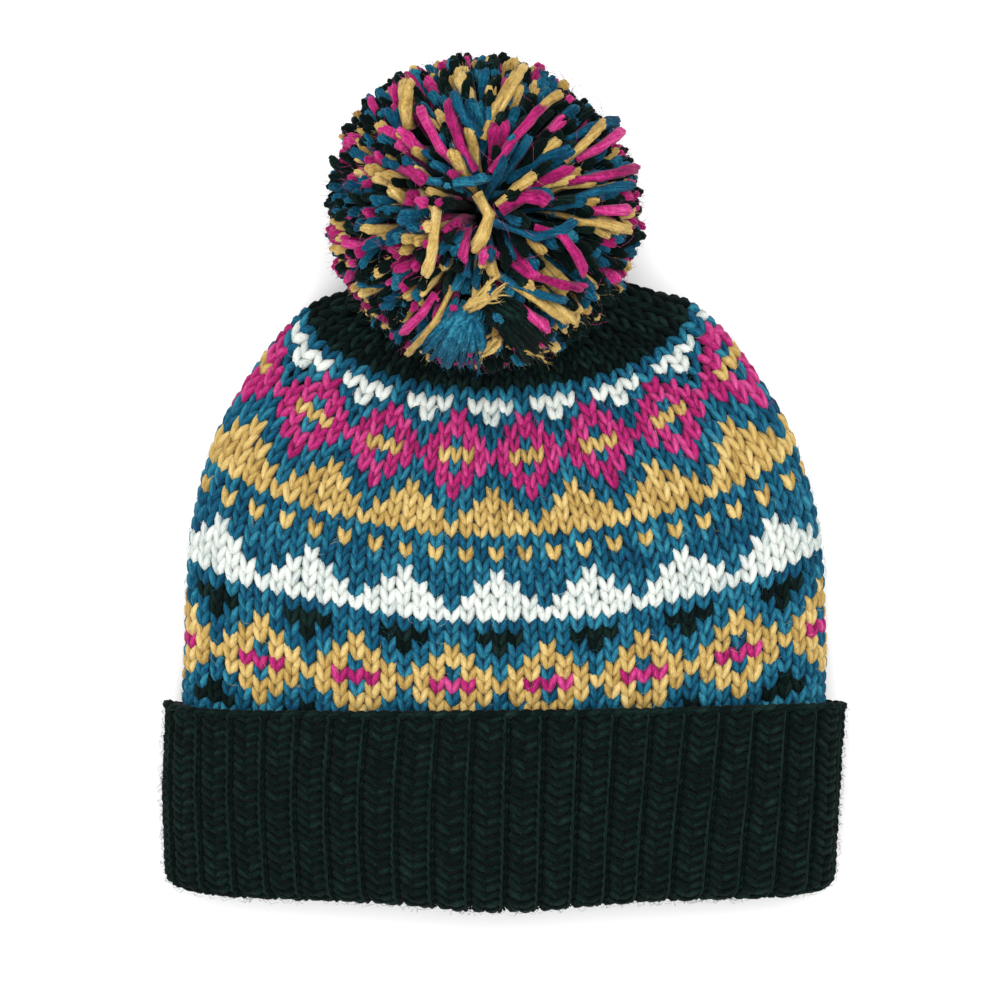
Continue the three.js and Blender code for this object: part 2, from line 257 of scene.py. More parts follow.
def rings_of(form, count, out=None):
    """Rings of points on a form. out: how far each lies outside it. The ground flattens what it meets."""
    across, up = even_outline(form, count)
    col = {name: values[:, None] for name, values in form.items()}
    out = np.zeros((len(across), 1)) if out is None else out
    share = 1 - across * across
    dip = (1 - col["round"]) * share + col["round"] * np.sqrt(np.maximum(share, 0))
    ends = np.where(across < 0, col["left"], col["right"]) * across**CORNER_SHARPNESS
    sag = col["belly"] * np.exp(-((across / BELLY_REACH) ** 2))
    x = col["shift"] + (col["half"] + out) * across
    y = col["y"] + col["rise"] * (1 - dip) + col["lean"] * across + ends - sag
    upper = col["top"] + out - col["side"]
    lower = col["side"] - np.maximum(col["under"] + lift_at(y) - out, 0)
    z = col["side"] + up * np.where(up >= 0, upper, lower)
    return np.stack((x, y, z), axis=-1)


class Surface:
    """A surface as an even grid of points, looked up by row and by turn, which is 0 to 1 round the hat."""

    def __init__(self, first, step, points):
        self.first = first
        self.step = step
        self.points = points
        along = np.gradient(points, axis=0)
        around = np.roll(points, -1, axis=1) - np.roll(points, 1, axis=1)
        self.normals = unit(np.cross(around, along))

    def at(self, row, turn, height):
        """Points at a height over the surface."""
        count = self.points.shape[1]
        r = np.clip((row - self.first) / self.step, 0, len(self.points) - 1 - LAST_ROW_MARGIN)
        i = r.astype(int)
        t = (r - i)[..., None]
        c = (turn % 1) * count
        j = c.astype(int) % count
        s = (c - np.floor(c))[..., None]
        k = (j + 1) % count

        def between(grid):
            low = grid[i, j] * (1 - s) + grid[i, k] * s
            high = grid[i + 1, j] * (1 - s) + grid[i + 1, k] * s
            return low * (1 - t) + high * t

        return between(self.points) + np.asarray(height)[..., None] * between(self.normals)


WOBBLE_WAVES = 6
WOBBLE_SHARE = 4


def wobble(turn, row, seed, fine=9, reach=0.35):
    """A smooth seeded unevenness of about 1 at most, seamless round the hat.

    fine: more than the most waves round it. reach: how far its waves slant from row to row.
    """
    own = np.random.default_rng(seed)
    total = 0
    for _ in range(WOBBLE_WAVES):
        waves = own.integers(1, fine)
        slope = own.uniform(-reach, reach)
        phase = own.uniform(0, 2 * np.pi)
        total = total + np.sin(2 * np.pi * waves * turn + slope * row + phase)
    return total / WOBBLE_SHARE


def tube_triangles(rings, sides):
    """Triangles of one closed tube, and which of them are shaded smooth: all but its flat ends."""
    sides_of = []
    for r in range(rings - 1):
        for j in range(sides):
            here = r * sides + j
            beside = r * sides + (j + 1) % sides
            sides_of.append((here, beside, beside + sides))
            sides_of.append((here, beside + sides, here + sides))
    last = (rings - 1) * sides
    ends = []
    for j in range(1, sides - 1):
        ends.append((0, j + 1, j))
        ends.append((last, last + j, last + j + 1))
    triangles = np.array(sides_of + ends)
    return triangles, np.arange(len(triangles)) < len(sides_of)


def copied(triangles, copies, points_each):
    """The triangles of many equal tubes."""
    starts = np.arange(copies) * points_each
    return (triangles[None] + starts[:, None, None]).reshape(-1, 3)


def frames_along(spines):
    """Tangents of spines (tubes, rings, 3), two untwisted directions square to them, and lengths along."""
    tangents = unit(np.gradient(spines, axis=1))
    first = tangents[:, 0]
    helper = np.where(np.abs(first[:, 2:]) < STEEP, [[0.0, 0.0, 1.0]], [[1.0, 0.0, 0.0]])
    side = unit(np.cross(first, helper))
    sides = np.empty_like(spines)
    for k in range(spines.shape[1]):
        tangent = tangents[:, k]
        side = unit(side - np.sum(side * tangent, axis=1, keepdims=True) * tangent)
        sides[:, k] = side
    steps = np.linalg.norm(np.diff(spines, axis=1), axis=2)
    lengths = np.concatenate((np.zeros((len(spines), 1)), np.cumsum(steps, axis=1)), axis=1)
    return tangents, sides, np.cross(tangents, sides), lengths


def sweep(spines, radii, sides=YARN_SIDES, twist=100.0, relief=PLY_RELIEF, flatten=1.0):
    """Closed tubes along spines (tubes, rings, 3): points, triangles, smooth ones and places on the yarn.

    twist: radians a metre. relief: how far the plies stand out, a share of the radius.
    """
    tubes, rings, _ = spines.shape
    _, frames, other, lengths = frames_along(spines)
    theta = 2 * np.pi * np.arange(sides) / sides
    angle = theta + twist * lengths[..., None]
    girth = radii[..., None] * (1 + relief * np.cos(PLIES * theta))
    points = (
        spines[:, :, None]
        + (girth * np.cos(angle))[..., None] * frames[:, :, None]
        + (girth * np.sin(angle) * flatten)[..., None] * other[:, :, None]
    )
    place = np.empty(points.shape)
    place[..., 0] = lengths[..., None] / MM
    place[..., 1] = np.cos(theta)
    place[..., 2] = np.sin(theta)
    triangles, smooth = tube_triangles(rings, sides)
    faces = copied(triangles, tubes, rings * sides)
    return points.reshape(-1, 3), faces, np.tile(smooth, tubes), place.reshape(-1, 3)


def grid_triangles(rows, columns):
    """Triangles between rings of points: each ring closed, and the last ring joined to the first."""
    i = np.arange(rows)[:, None]
    j = np.arange(columns)[None]
    here = i * columns + j
    beside = i * columns + (j + 1) % columns
    above = ((i + 1) % rows) * columns + j
    across = ((i + 1) % rows) * columns + (j + 1) % columns
    one = np.stack((here, beside, across), axis=-1).reshape(-1, 3)
    two = np.stack((here, across, above), axis=-1).reshape(-1, 3)
    return np.concatenate((one, two))


def add_piece(name, letter, node, points, triangles, smooth, place, shade):
    """One visible piece of one yarn that stands for a CAD node. The ground presses flat what meets it.

    smooth: which triangles are shaded smooth. place, shade: of each point, for the yarn's material.
    """
    points = np.array(points)
    points[:, 2] = np.maximum(points[:, 2], LOWEST)
    mesh = bpy.data.meshes.new(name)
    mesh.vertices.add(len(points))
    mesh.vertices.foreach_set("co", np.ascontiguousarray(points, np.float32).ravel())
    mesh.loops.add(triangles.size)
    mesh.loops.foreach_set("vertex_index", np.ascontiguousarray(triangles, np.int32).ravel())
    mesh.polygons.add(len(triangles))
    mesh.polygons.foreach_set("loop_start", np.arange(0, triangles.size, 3, dtype=np.int32))
    mesh.polygons.foreach_set("use_smooth", np.broadcast_to(smooth, len(triangles)).astype(bool))
    yarn = mesh.attributes.new("yarn", "FLOAT_VECTOR", "POINT")
    yarn.data.foreach_set("vector", np.ascontiguousarray(place, np.float32).ravel())
    shades = mesh.attributes.new("shade", "FLOAT", "POINT")
    shades.data.foreach_set("value", np.full(len(points), shade, np.float32))
    mesh.update(calc_edges=True)
    mesh.materials.append(MATERIALS[letter])
    piece = bpy.data.objects.new(name, mesh)
    bpy.context.scene.collection.objects.link(piece)
    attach(piece, "root")
    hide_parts(node)
    return piece


def linear(colour):
    """An sRGB colour, 0 to 255, as linear RGBA."""
    values = np.array(colour) / 255
    low = values / 12.92
    high = ((values + 0.055) / 1.055) ** 2.4
    return (*np.where(values <= 0.04045, low, high), 1.0)


class Nodes:
    """Short calls for one material's nodes."""

    def __init__(self, name):
        self.material = bpy.data.materials.new(name)
        self.material.use_nodes = True
        self.tree = self.material.node_tree
        self.tree.nodes.clear()

    def put(self, socket, value):
        if isinstance(value, bpy.types.NodeSocket):
            self.tree.links.new(value, socket)
        else:
            socket.default_value = value

    def add(self, kind, inputs=None, **settings):
        node = self.tree.nodes.new(kind)
        for key, value in settings.items():
            setattr(node, key, value)
        for key, value in (inputs or {}).items():
            self.put(node.inputs[key], value)
        return node

    def math(self, operation, a, b=0.0):
        return self.add("ShaderNodeMath", {0: a, 1: b}, operation=operation).outputs[0]

    def noise(self, vector, scale, detail=2.0, roughness=0.5):
        inputs = {"Vector": vector, "Scale": scale, "Detail": detail, "Roughness": roughness}
        return self.add("ShaderNodeTexNoise", inputs).outputs["Fac"]

    def vector(self, x, y, z):
        return self.add("ShaderNodeCombineXYZ", {0: x, 1: y, 2: z}).outputs[0]

    def ramp(self, factor, stops):
        node = self.add("ShaderNodeValToRGB", {"Fac": factor})
        elements = node.color_ramp.elements
        stops = list(stops)
        while len(elements) < len(stops):
            elements.new(0.5)
        for element, (place, colour) in zip(elements, stops):
            element.position = place
            element.color = colour
        return node.outputs["Color"]

    def mix(self, factor, a, b):
        node = self.add("ShaderNodeMix", data_type="RGBA")
        self.put(node.inputs["Factor"], factor)
        self.put(node.inputs[6], a)
        self.put(node.inputs[7], b)
        return node.outputs[2]


# Yarns: name; sRGB tones in its grooves, partly painted shade; over most of it; where it catches the light,
# partly a painted highlight; sheen
YARNS = {
    "B": ("blue", (3, 23, 40), (13, 77, 103), (58, 140, 160), 0.03),
    "G": ("green", (1, 7, 6), (3, 16, 14), (24, 45, 41), 0.02),
    "P": ("pink", (74, 5, 45), (163, 29, 99), (208, 88, 148), 0.08),
    "M": ("mustard", (110, 80, 34), (178, 148, 83), (218, 195, 133), 0.08),
    "W": ("white", (130, 148, 150), (200, 205, 199), (220, 224, 218), 0.08),
}
TONES_AT = (0.08, 0.5, 0.95)
NAMES = {letter: yarn[0] for letter, yarn in YARNS.items()}
FLECKS = {"B": ((22, 40, 84), 0.4)}  # a second colour spun into a yarn, and how strong it is
FLECK_ALONG = 0.33  # a mm
FLECK_SCALE = 1.3
FLECK_FROM = 0.52
FLECK_TO = 0.68

# The yarn's noise: how fast it changes along and across the yarn, and how far shade moves each strand in it
SHADE_OFFSET = 67.0
FIBRES_ALONG = 0.55
FIBRES_ACROSS = 3.4
FIBRES_SCALE = 1.4
FIBRES_DETAIL = 4.0
FIBRES_ROUGHNESS = 0.62
PATCHES_ALONG = 0.2
PATCHES_OFFSET = 1.7

# What each adds to the tone, from 0 to 1, and to the bump
# The plies' crests are painted lighter and the grooves between them darker: painted highlight and painted
# shade
PLY_SHADING_IN_TONE = 0.09
FIBRES_IN_TONE = 1.15
SHADE_IN_TONE = 0.36
PATCHES_IN_TONE = 0.55
PLIES_IN_BUMP = 0.15
FIBRES_IN_BUMP = 1.3
BUMP_STRENGTH = 0.36
BUMP_DEPTH = 0.25 * MM
YARN_ROUGHNESS = 0.88
YARN_SPECULAR = 0.05
SHEEN_ROUGHNESS = 0.5


def yarn_material(letter):
    """Wool yarn: plies and fibres that follow it, with painted shade between the plies and painted highlight
    on them, and tones that change along it and from loop to loop.
    """
    name, *tones, sheen = YARNS[letter]
    n = Nodes(f"{name}_yarn")
    yarn = n.add("ShaderNodeAttribute", attribute_name="yarn")
    along, x, y = n.add("ShaderNodeSeparateXYZ", {0: yarn.outputs["Vector"]}).outputs
    shade = n.add("ShaderNodeAttribute", attribute_name="shade").outputs["Fac"]
    angle = n.math("ARCTAN2", y, x)
    plies = n.math("COSINE", n.math("MULTIPLY", angle, float(PLIES)))
    offset = n.math("MULTIPLY", shade, SHADE_OFFSET)
    place = n.vector(
        n.math("ADD", n.math("MULTIPLY", along, FIBRES_ALONG), offset),
        n.math("MULTIPLY", x, FIBRES_ACROSS),
        n.math("MULTIPLY", y, FIBRES_ACROSS),
    )
    fibres = n.noise(place, FIBRES_SCALE, FIBRES_DETAIL, FIBRES_ROUGHNESS)
    patches = n.noise(n.vector(
        n.math("MULTIPLY", along, PATCHES_ALONG),
        n.math("MULTIPLY", offset, PATCHES_OFFSET),
        0.0,
    ), 1.0)
    # lighter on the plies' crests and darker between them: painted highlight and painted shade
    tone = n.math("MULTIPLY_ADD", plies, PLY_SHADING_IN_TONE)
    tone.node.inputs[2].default_value = 0.5
    for value, amount in ((fibres, FIBRES_IN_TONE), (shade, SHADE_IN_TONE), (patches, PATCHES_IN_TONE)):
        centred = n.math("SUBTRACT", value, 0.5)
        tone = n.math("ADD", tone, n.math("MULTIPLY", centred, amount))
    colour = n.ramp(tone, zip(TONES_AT, map(linear, tones)))
    if letter in FLECKS:
        fleck, strength = FLECKS[letter]
        speckle = n.noise(n.vector(n.math("MULTIPLY", along, FLECK_ALONG), offset, x), FLECK_SCALE)
        inputs = {"Value": speckle, "From Min": FLECK_FROM, "From Max": FLECK_TO}
        where = n.add("ShaderNodeMapRange", inputs)
        colour = n.mix(n.math("MULTIPLY", where.outputs[0], strength), colour, linear(fleck))
    height = n.math(
        "ADD",
        n.math("MULTIPLY", plies, PLIES_IN_BUMP),
        n.math("MULTIPLY", fibres, FIBRES_IN_BUMP),
    )
    bump = n.add("ShaderNodeBump", {"Height": height, "Strength": BUMP_STRENGTH, "Distance": BUMP_DEPTH})
    shader = n.add("ShaderNodeBsdfPrincipled", {"Base Color": colour, "Normal": bump.outputs[0]})
    shader.inputs["Roughness"].default_value = YARN_ROUGHNESS
    shader.inputs["Specular IOR Level"].default_value = YARN_SPECULAR
    shader.inputs["Sheen Weight"].default_value = sheen
    shader.inputs["Sheen Roughness"].default_value = SHEEN_ROUGHNESS
    n.add("ShaderNodeOutputMaterial", {"Surface": shader.outputs[0]})
    return n.material


MATERIALS = {letter: yarn_material(letter) for letter in YARNS}

# Knitted body

SURFACE_COLUMNS = 1024
SURFACE_STEP = 0.1
LOWEST_COURSE = -8.0
HIGHEST_COURSE = 35.9
FIRST_SLOPE = (BODY_SECTIONS[1, 1] - BODY_SECTIONS[0, 1]) / (BODY_SECTIONS[1, 0] - BODY_SECTIONS[0, 0])


def body_surface():
    """The body's outer face, carried on a little below its first section."""
    courses = np.arange(LOWEST_COURSE, HIGHEST_COURSE, SURFACE_STEP)
    form = body_form(courses)
    form["y"] = form["y"] + np.minimum(courses - FIRST_COURSE, 0) * FIRST_SLOPE * HAT_LENGTH
    return Surface(LOWEST_COURSE, SURFACE_STEP, rings_of(form, SURFACE_COLUMNS))


def cuff_edge(x):
    """Y of the cuff's upper edge at places across the hat."""
    form = cuff_form([CUFF_DEPTH])
    across = np.clip(x / form["half"], -1, 1)
    return form["y"] + form["rise"] * across**2 + form["lean"] * across


FRONT_CLOSENESS = 0.045
SHIFT_AT_START = -0.34  # stitches
SHIFT_PER_COURSE = -0.019


def front_closer(turn, course):
    """Stitches lie a little closer on the front than on the back, and drift to one side up the hat."""
    shift = (SHIFT_AT_START + SHIFT_PER_COURSE * np.maximum(course, 0)) / STITCHES
    return turn - FRONT_CLOSENESS * np.sin(2 * np.pi * turn) / (2 * np.pi) + shift


def charted_stitches():
    """Middle, course, width and yarn of each stitch of the body. A width is a share of a turn."""
    rows = []
    for course in range(FIRST_COURSE, APEX_COURSE):
        letters = CHART[max(course - FIRST_CHARTED, 0)]
        count = len(letters)
        width = 1 / (REPEATS * count)
        for repeat in range(REPEATS):
            flower = (STITCHES_A_REPEAT * repeat + FLOWER_OFFSET) / STITCHES
            for k, letter in enumerate(letters):
                middle = flower + (CHART_START[count] + k) / (REPEATS * count)
                rows.append((middle, course, width, letter))
    turn, course, width, letters = zip(*rows)
    return np.array(turn), np.array(course, float), np.array(width), np.array(letters)


def leg_template(side, plump):
    """One leg of a V stitch, across in stitches, up in courses, over the face in metres."""
    spine = LEG_SPINE[:, :3] * (side * STITCH_WIDTH, COURSE_PITCH, MM)
    radii = LEG_SPINE[:, 3] * LEG_HALF_WIDTH * plump
    points, faces, smooth, place = sweep(
        spine[None], radii[None], twist=LEG_TWIST, flatten=LEG_HALF_HEIGHT / LEG_HALF_WIDTH
    )
    return points / (STITCH_WIDTH, COURSE_PITCH, 1.0), faces, smooth, place


# How uneven the stitches are, as standard deviations: their places in stitches and in courses, their width
# and height as shares, their tilt and how far they stand out
UNEVEN_ACROSS = 0.035
UNEVEN_UP = 0.05
UNEVEN_WIDTH = 0.05
UNEVEN_HEIGHT = 0.04
UNEVEN_TILT = 0.03
UNEVEN_OUT = 0.14 * MM

# How far the knitting drifts from its even chart, at most: in stitches, in courses and outwards
DRIFT_ACROSS = 0.12
DRIFT_UP = 0.16
DRIFT_OUT = 0.35 * MM
DRIFT_SEEDS = (3, 4, 5)


def laid_part(template, laid, shades):
    """A template laid many times, as one part for add_parts. laid: the points of each copy."""
    points, faces, smooth, place = template
    copies = len(laid)
    return (
        laid.reshape(-1, 3),
        copied(faces, copies, len(points)),
        np.tile(smooth, copies),
        np.tile(place, (copies, 1)),
        np.repeat(shades, len(points)),
    )


def laid_stitches(surface, templates, turn, row, width):
    """Legs of many stitches laid on a surface, as parts for add_parts."""
    count = len(turn)
    parts = []
    across_shift = random.normal(0, UNEVEN_ACROSS, (count, 1))
    row_shift = random.normal(0, UNEVEN_UP, (count, 1))
    for template in templates:
        points = template[0]
        wider = 1 + random.normal(0, UNEVEN_WIDTH, (count, 1))
        taller = 1 + random.normal(0, UNEVEN_HEIGHT, (count, 1))
        tilt = random.normal(0, UNEVEN_TILT, (count, 1))
        higher = random.normal(0, UNEVEN_OUT, (count, 1))
        across = points[:, 0] * wider + across_shift + tilt * points[:, 1]
        turns = turn[:, None] + across * width[:, None]
        rows = row[:, None] + points[:, 1] * taller + row_shift
        turns = turns + wobble(turns, rows, DRIFT_SEEDS[0]) * DRIFT_ACROSS / STITCHES
        rows = rows + wobble(turns, rows, DRIFT_SEEDS[1]) * DRIFT_UP
        heights = points[:, 2] + higher + wobble(turns, rows, DRIFT_SEEDS[2]) * DRIFT_OUT
        laid = surface.at(rows, turns, heights)
        parts.append(laid_part(template, laid, random.uniform(0, 1, count)))
    return parts


def add_parts(name, parts, letter, node):
    """One piece of one yarn from parts of points, triangles, smooth ones, places on the yarn and shades."""
    start = 0
    faces = []
    for points, triangles, *_ in parts:
        faces.append(triangles + start)
        start += len(points)
    points, _, smooth, place, shade = (np.concatenate([part[k] for part in parts]) for k in range(5))
    add_piece(name, letter, node, points, np.concatenate(faces), smooth, place, shade)


COURSES_UNDER_CUFF = 1.3  # how far the stitches go on behind the cuff's edge
FUZZ_PER_STITCH = 2


def knit_body(surface):
    """The V stitches of the body, a piece for each yarn on the front and on the back."""
    turn, course, width, letters = charted_stitches()
    turn = front_closer(turn, course)
    middles = surface.at(course, turn, 0.0)
    seen = middles[:, 1] > cuff_edge(middles[:, 0]) - COURSES_UNDER_CUFF * COURSE_PITCH
    front = np.cos(2 * np.pi * turn) > 0
    for letter in "BGPMW":
        templates = [leg_template(side, PLUMPNESS[letter]) for side in (-1, 1)]
        for side, label in ((front, "front"), (~front, "back")):
            chosen = seen & (letters == letter) & side
            parts = laid_stitches(surface, templates, turn[chosen], course[chosen], width[chosen])
            if label == "front":
                parts.append(stitch_fuzz(surface, turn[chosen], course[chosen], width[chosen]))
            add_parts(f"stitches_{NAMES[letter]}_{label}", parts, letter, "knit_body")


def loft(rings, capped):
    """A closed body through rings: joined last to first, or capped at both ends."""
    count = rings.shape[1]
    points = rings.reshape(-1, 3)
    faces = grid_triangles(len(rings), count)
    if not capped:
        return points, faces
    last = (len(rings) - 1) * count
    inside = (faces < count).any(axis=1) & (faces >= last).any(axis=1)
    faces = faces[~inside]
    middles = np.stack((rings[0].mean(axis=0), rings[-1].mean(axis=0)))
    i = np.arange(count)
    j = (i + 1) % count
    low = np.stack((np.full(count, len(points)), j, i), axis=1)
    high = np.stack((np.full(count, len(points) + 1), last + i, last + j), axis=1)
    return np.concatenate((points, middles)), np.concatenate((faces, low, high))


WALL_COLUMNS = 2 * STITCHES
# A darker tone for the wall: painted shade where it shows between the stitches
WALL_PAINTED_SHADE = 0.15
OUTSIDE_COURSES = np.arange(-6.0, 35.8, 1.0)[:, None]
INSIDE_COURSES = np.arange(33.0, -6.5, -0.5)[:, None]
PURL_RELIEF = 0.25 * MM
PURL_SWAY = 0.25  # courses
CROWN_FROM = 24.6  # the course from which the wall is green


def body_wall(surface):
    """The strands carried behind the stitches, down to the inside of the hat."""
    turns = np.arange(WALL_COLUMNS)[None] / WALL_COLUMNS
    angle = 2 * np.pi * STITCHES * turns
    purls = PURL_RELIEF * np.cos(2 * np.pi * (INSIDE_COURSES + PURL_SWAY * np.cos(angle)))
    inside = surface.at(INSIDE_COURSES, turns, purls - KNIT_WALL)
    outside = surface.at(OUTSIDE_COURSES, turns, -BACKING_DEPTH)
    edge = cuff_form([BODY_EDGE_UP] * 2)
    edges = rings_of(edge, WALL_COLUMNS, np.array([[-KNIT_WALL], [-BACKING_DEPTH]]))
    points, faces = loft(np.concatenate((inside, edges, outside)), capped=True)
    rows = np.concatenate((INSIDE_COURSES[:, 0], [LOWEST_COURSE] * 2, OUTSIDE_COURSES[:, 0]))
    place = np.zeros((len(points), 3))
    grid = place[: len(rows) * WALL_COLUMNS].reshape(len(rows), WALL_COLUMNS, 3)
    grid[..., 0] = rows[:, None] * COURSE_PITCH / MM
    grid[..., 1] = np.cos(angle)
    grid[..., 2] = np.sin(angle)
    piece = add_piece("body_wall", "B", "knit_body", points, faces, True, place, WALL_PAINTED_SHADE)
    piece.data.materials.append(MATERIALS["G"])
    crown = points[:, 1] > body_form(np.array([CROWN_FROM]))["y"][0]
    piece.data.polygons.foreach_set("material_index", crown[faces].all(axis=1).astype(np.int32))


# Ribbed cuff

CUFF_SLIT = SEAT_GAP
CUFF_OUTSIDE = CUFF_SLIT + CUFF_LAYER
FOLD_MIDDLE = (CUFF_OUTSIDE - CUFF_LAYER) / 2
FOLD_BEND = CUFF_OUTSIDE - FOLD_MIDDLE
INNER_TOP = BODY_EDGE_UP - SEAT_GAP
INNER_RUN = INNER_TOP - FOLD_BEND
FOLD_RUN = np.pi * FOLD_BEND
OUTER_RUN = CUFF_DEPTH - FOLD_BEND
CUFF_RUN = INNER_RUN + FOLD_RUN + OUTER_RUN
CUFF_STEP = 0.5 * MM
CUFF_COURSE = 3.1 * MM
CUFF_COURSES = int((FOLD_RUN + OUTER_RUN) / CUFF_COURSE)  # from where the fold begins

# The two legs in each V of a rib, and the loop in the groove beside it: across in ribs from its raised line,
# along in courses of the cuff, height over the knitted face in mm, girth as a share.
RIB_ARMS = (
    np.array([
        (0.55, -0.42, -1.3, 0.7),
        (0.66, -0.2, -0.7, 1.02),
        (0.76, 0.0, -0.5, 1.05),
        (0.86, 0.2, -0.7, 1.0),
        (0.94, 0.38, -1.3, 0.7),
    ]),
    np.array([
        (0.6, -0.42, -1.4, 0.7),
        (0.5, -0.15, -0.8, 0.95),
        (0.4, 0.15, -0.6, 1.0),
        (0.3, 0.45, -0.8, 0.95),
        (0.22, 0.75, -1.4, 0.7),
    ]),
)
GROOVE_LOOP = np.array([
    (0.09, -0.34, -1.1, 0.4),
    (0.11, 0.0, -0.85, 1.0),
    (0.13, 0.34, -1.1, 0.4),
])
RIB_ARM_GIRTH = 1.4 * MM
GROOVE_LOOP_GIRTH = 0.55 * MM
RIB_TWIST = 150.0  # radians a metre
RIB_FLATNESS = 0.62
CIRCLE_SHARE = 0.7  # of a circle as wide as the hat, which the cuff measures round
ARM_START = 0.4  # courses
ARM_UNEVEN_ACROSS = 0.018
ARM_UNEVEN_ALONG = 0.05
ARM_UNEVEN_OUT = 0.1 * MM
ARM_SHADES = (0.25, 0.75)
# Tones of the loops in the grooves, darker than the arms': painted shade
LOOP_PAINTED_SHADES = (0, 0.6)

# How the ribs sway, in ribs, and how the cuff swells outwards, each over some length
RIB_SWAY = 0.1
RIB_SWAY_OVER = 9 * MM
RIB_SWAY_SEED = 21
RIB_SWAY_FINE = 6
RIB_SWAY_REACH = 0.5
CUFF_SWELL = 0.25 * MM
CUFF_SWELL_OVER = 12 * MM
CUFF_SWELL_SEED = 22


def cuff_path(run):
    """How far out and up the cuff's knitted face lies, along its run from the inner edge round the fold."""
    turn = np.clip((run - INNER_RUN) / FOLD_RUN, 0, 1)
    out = FOLD_MIDDLE - FOLD_BEND * np.cos(np.pi * turn)
    up = FOLD_BEND * (1 - np.sin(np.pi * turn))
    up = up + np.maximum(INNER_RUN - run, 0) + np.maximum(run - INNER_RUN - FOLD_RUN, 0)
    return out, up


def cuff_surface():
    """The cuff's knitted face, from its inner edge round the fold to its upper edge."""
    run = np.arange(0, CUFF_RUN + CUFF_STEP / 2, CUFF_STEP)
    out, up = cuff_path(run)
    points = rings_of(cuff_form(up), SURFACE_COLUMNS, out[:, None])
    return Surface(0, CUFF_STEP, points)


def ribs_swayed(turn, run):
    """Ribs aren't quite straight: they sway, and lean where the knitting was pulled."""
    sway = wobble(turn, run / RIB_SWAY_OVER, RIB_SWAY_SEED, RIB_SWAY_FINE, RIB_SWAY_REACH)
    return turn + sway * RIB_SWAY / RIB_COUNT


def laid_on_cuff(surface, points, rib, course, higher=0.0):
    """Places on the cuff of template points: across in ribs, along in courses, over the face in metres."""
    turn = (rib + points[..., 0]) / RIB_COUNT
    run = INNER_RUN + (course + points[..., 1]) * CUFF_COURSE
    swell = wobble(turn, run / CUFF_SWELL_OVER, CUFF_SWELL_SEED) * CUFF_SWELL
    return surface.at(run, ribs_swayed(turn, run), points[..., 2] + higher + swell)


def rib_template(table, girth, sides=YARN_SIDES):
    """One leg or loop of a rib, across in ribs, along in courses, over the face in metres."""
    width = np.pi * BODY_WIDTH * CIRCLE_SHARE / RIB_COUNT
    spine = table[:, :3] * (width, CUFF_COURSE, MM)
    girths = table[:, 3] * girth
    points, *rest = sweep(spine[None], girths[None], sides, twist=RIB_TWIST, flatten=RIB_FLATNESS)
    return points / (width, CUFF_COURSE, 1.0), *rest


def every_rib_course():
    """The ribs and courses of all the cuff's stitches."""
    ribs, courses = np.meshgrid(np.arange(RIB_COUNT), np.arange(CUFF_COURSES))
    return ribs.reshape(-1, 1).astype(float), courses.reshape(-1, 1).astype(float)


def cuff_arms(surface):
    """The V column of each rib, from just inside the fold up to the edge."""
    ribs, courses = every_rib_course()
    count = len(ribs)
    parts = []
    for table in RIB_ARMS:
        template = rib_template(table, RIB_ARM_GIRTH)
        varied = np.broadcast_to(template[0], (count, *template[0].shape)).copy()
        varied[..., 0] += random.normal(0, ARM_UNEVEN_ACROSS, (count, 1))
        varied[..., 1] += random.normal(0, ARM_UNEVEN_ALONG, (count, 1))
        higher = random.normal(0, ARM_UNEVEN_OUT, (count, 1))
        laid = laid_on_cuff(surface, varied, ribs, courses + ARM_START, higher)
        parts.append(laid_part(template, laid, random.uniform(*ARM_SHADES, count)))
    add_parts("cuff_ribs", parts, "G", "cuff")


# The raised line of each rib: thick and thin by turns, every half course
LINE_GIRTH = 0.7 * MM
LINE_THICK = 1.1
LINE_THIN = 0.75
LINE_DIP = 0.5 * MM
LINE_SUNK = 0.35 * MM
LINE_SWAY = 0.02  # ribs
LINE_TWIST = 60.0
# A lighter tone on the raised lines: a painted highlight
LINE_PAINTED_HIGHLIGHT = 0.9


def raised_lines(surface):
    """The raised line of every rib, as one part for add_parts."""
    steps = np.arange(0, CUFF_COURSES + 0.1, 0.5)
    thin = np.arange(len(steps)) % 2 == 0
    line = np.zeros((RIB_COUNT, len(steps), 3))
    line[..., 0] = LINE_SWAY * np.cos(2 * np.pi * steps)
    line[..., 1] = steps
    line[..., 2] = np.where(thin, -LINE_DIP, 0)
    spines = laid_on_cuff(surface, line, np.arange(RIB_COUNT)[:, None], 0.0, -LINE_SUNK)
    girths = LINE_GIRTH * np.where(thin, LINE_THIN, LINE_THICK)
    points, faces, smooth, place = sweep(spines, np.broadcast_to(girths, spines.shape[:2]), twist=LINE_TWIST)
    return points, faces, smooth, place, np.full(len(points), LINE_PAINTED_HIGHLIGHT)


def groove_loops(surface):
    """The small loops in the groove beside each line, as one part for add_parts."""
    ribs, courses = every_rib_course()
    template = rib_template(GROOVE_LOOP, GROOVE_LOOP_GIRTH, sides=4)
    laid = laid_on_cuff(surface, template[0][None], ribs, courses)
    return laid_part(template, laid, random.uniform(*LOOP_PAINTED_SHADES, len(ribs)))


def cuff_lines(surface):
    """The thin raised line of each rib, and the small loops in the groove beside it."""
    add_parts("cuff_lines", [raised_lines(surface), groove_loops(surface)], "G", "cuff")


# The chain along the cuff's upper edge: each link slants from one course to the next and arches out
LINKS = 3 * RIB_COUNT
LINK_STEPS = np.linspace(-0.25, 1.25, 6)
LINK_GIRTH = 1.35 * MM
LINK_GIRTHS = np.array([0.5, 0.85, 1.0, 1.0, 0.85, 0.5])
LINK_SLANT = 0.9 * MM
LINK_SUNK = 1.2 * MM
LINK_ARCH = 0.8 * MM
LINK_TWIST = 120.0
LINK_GIRTH_SPREAD = (0.9, 1.1)


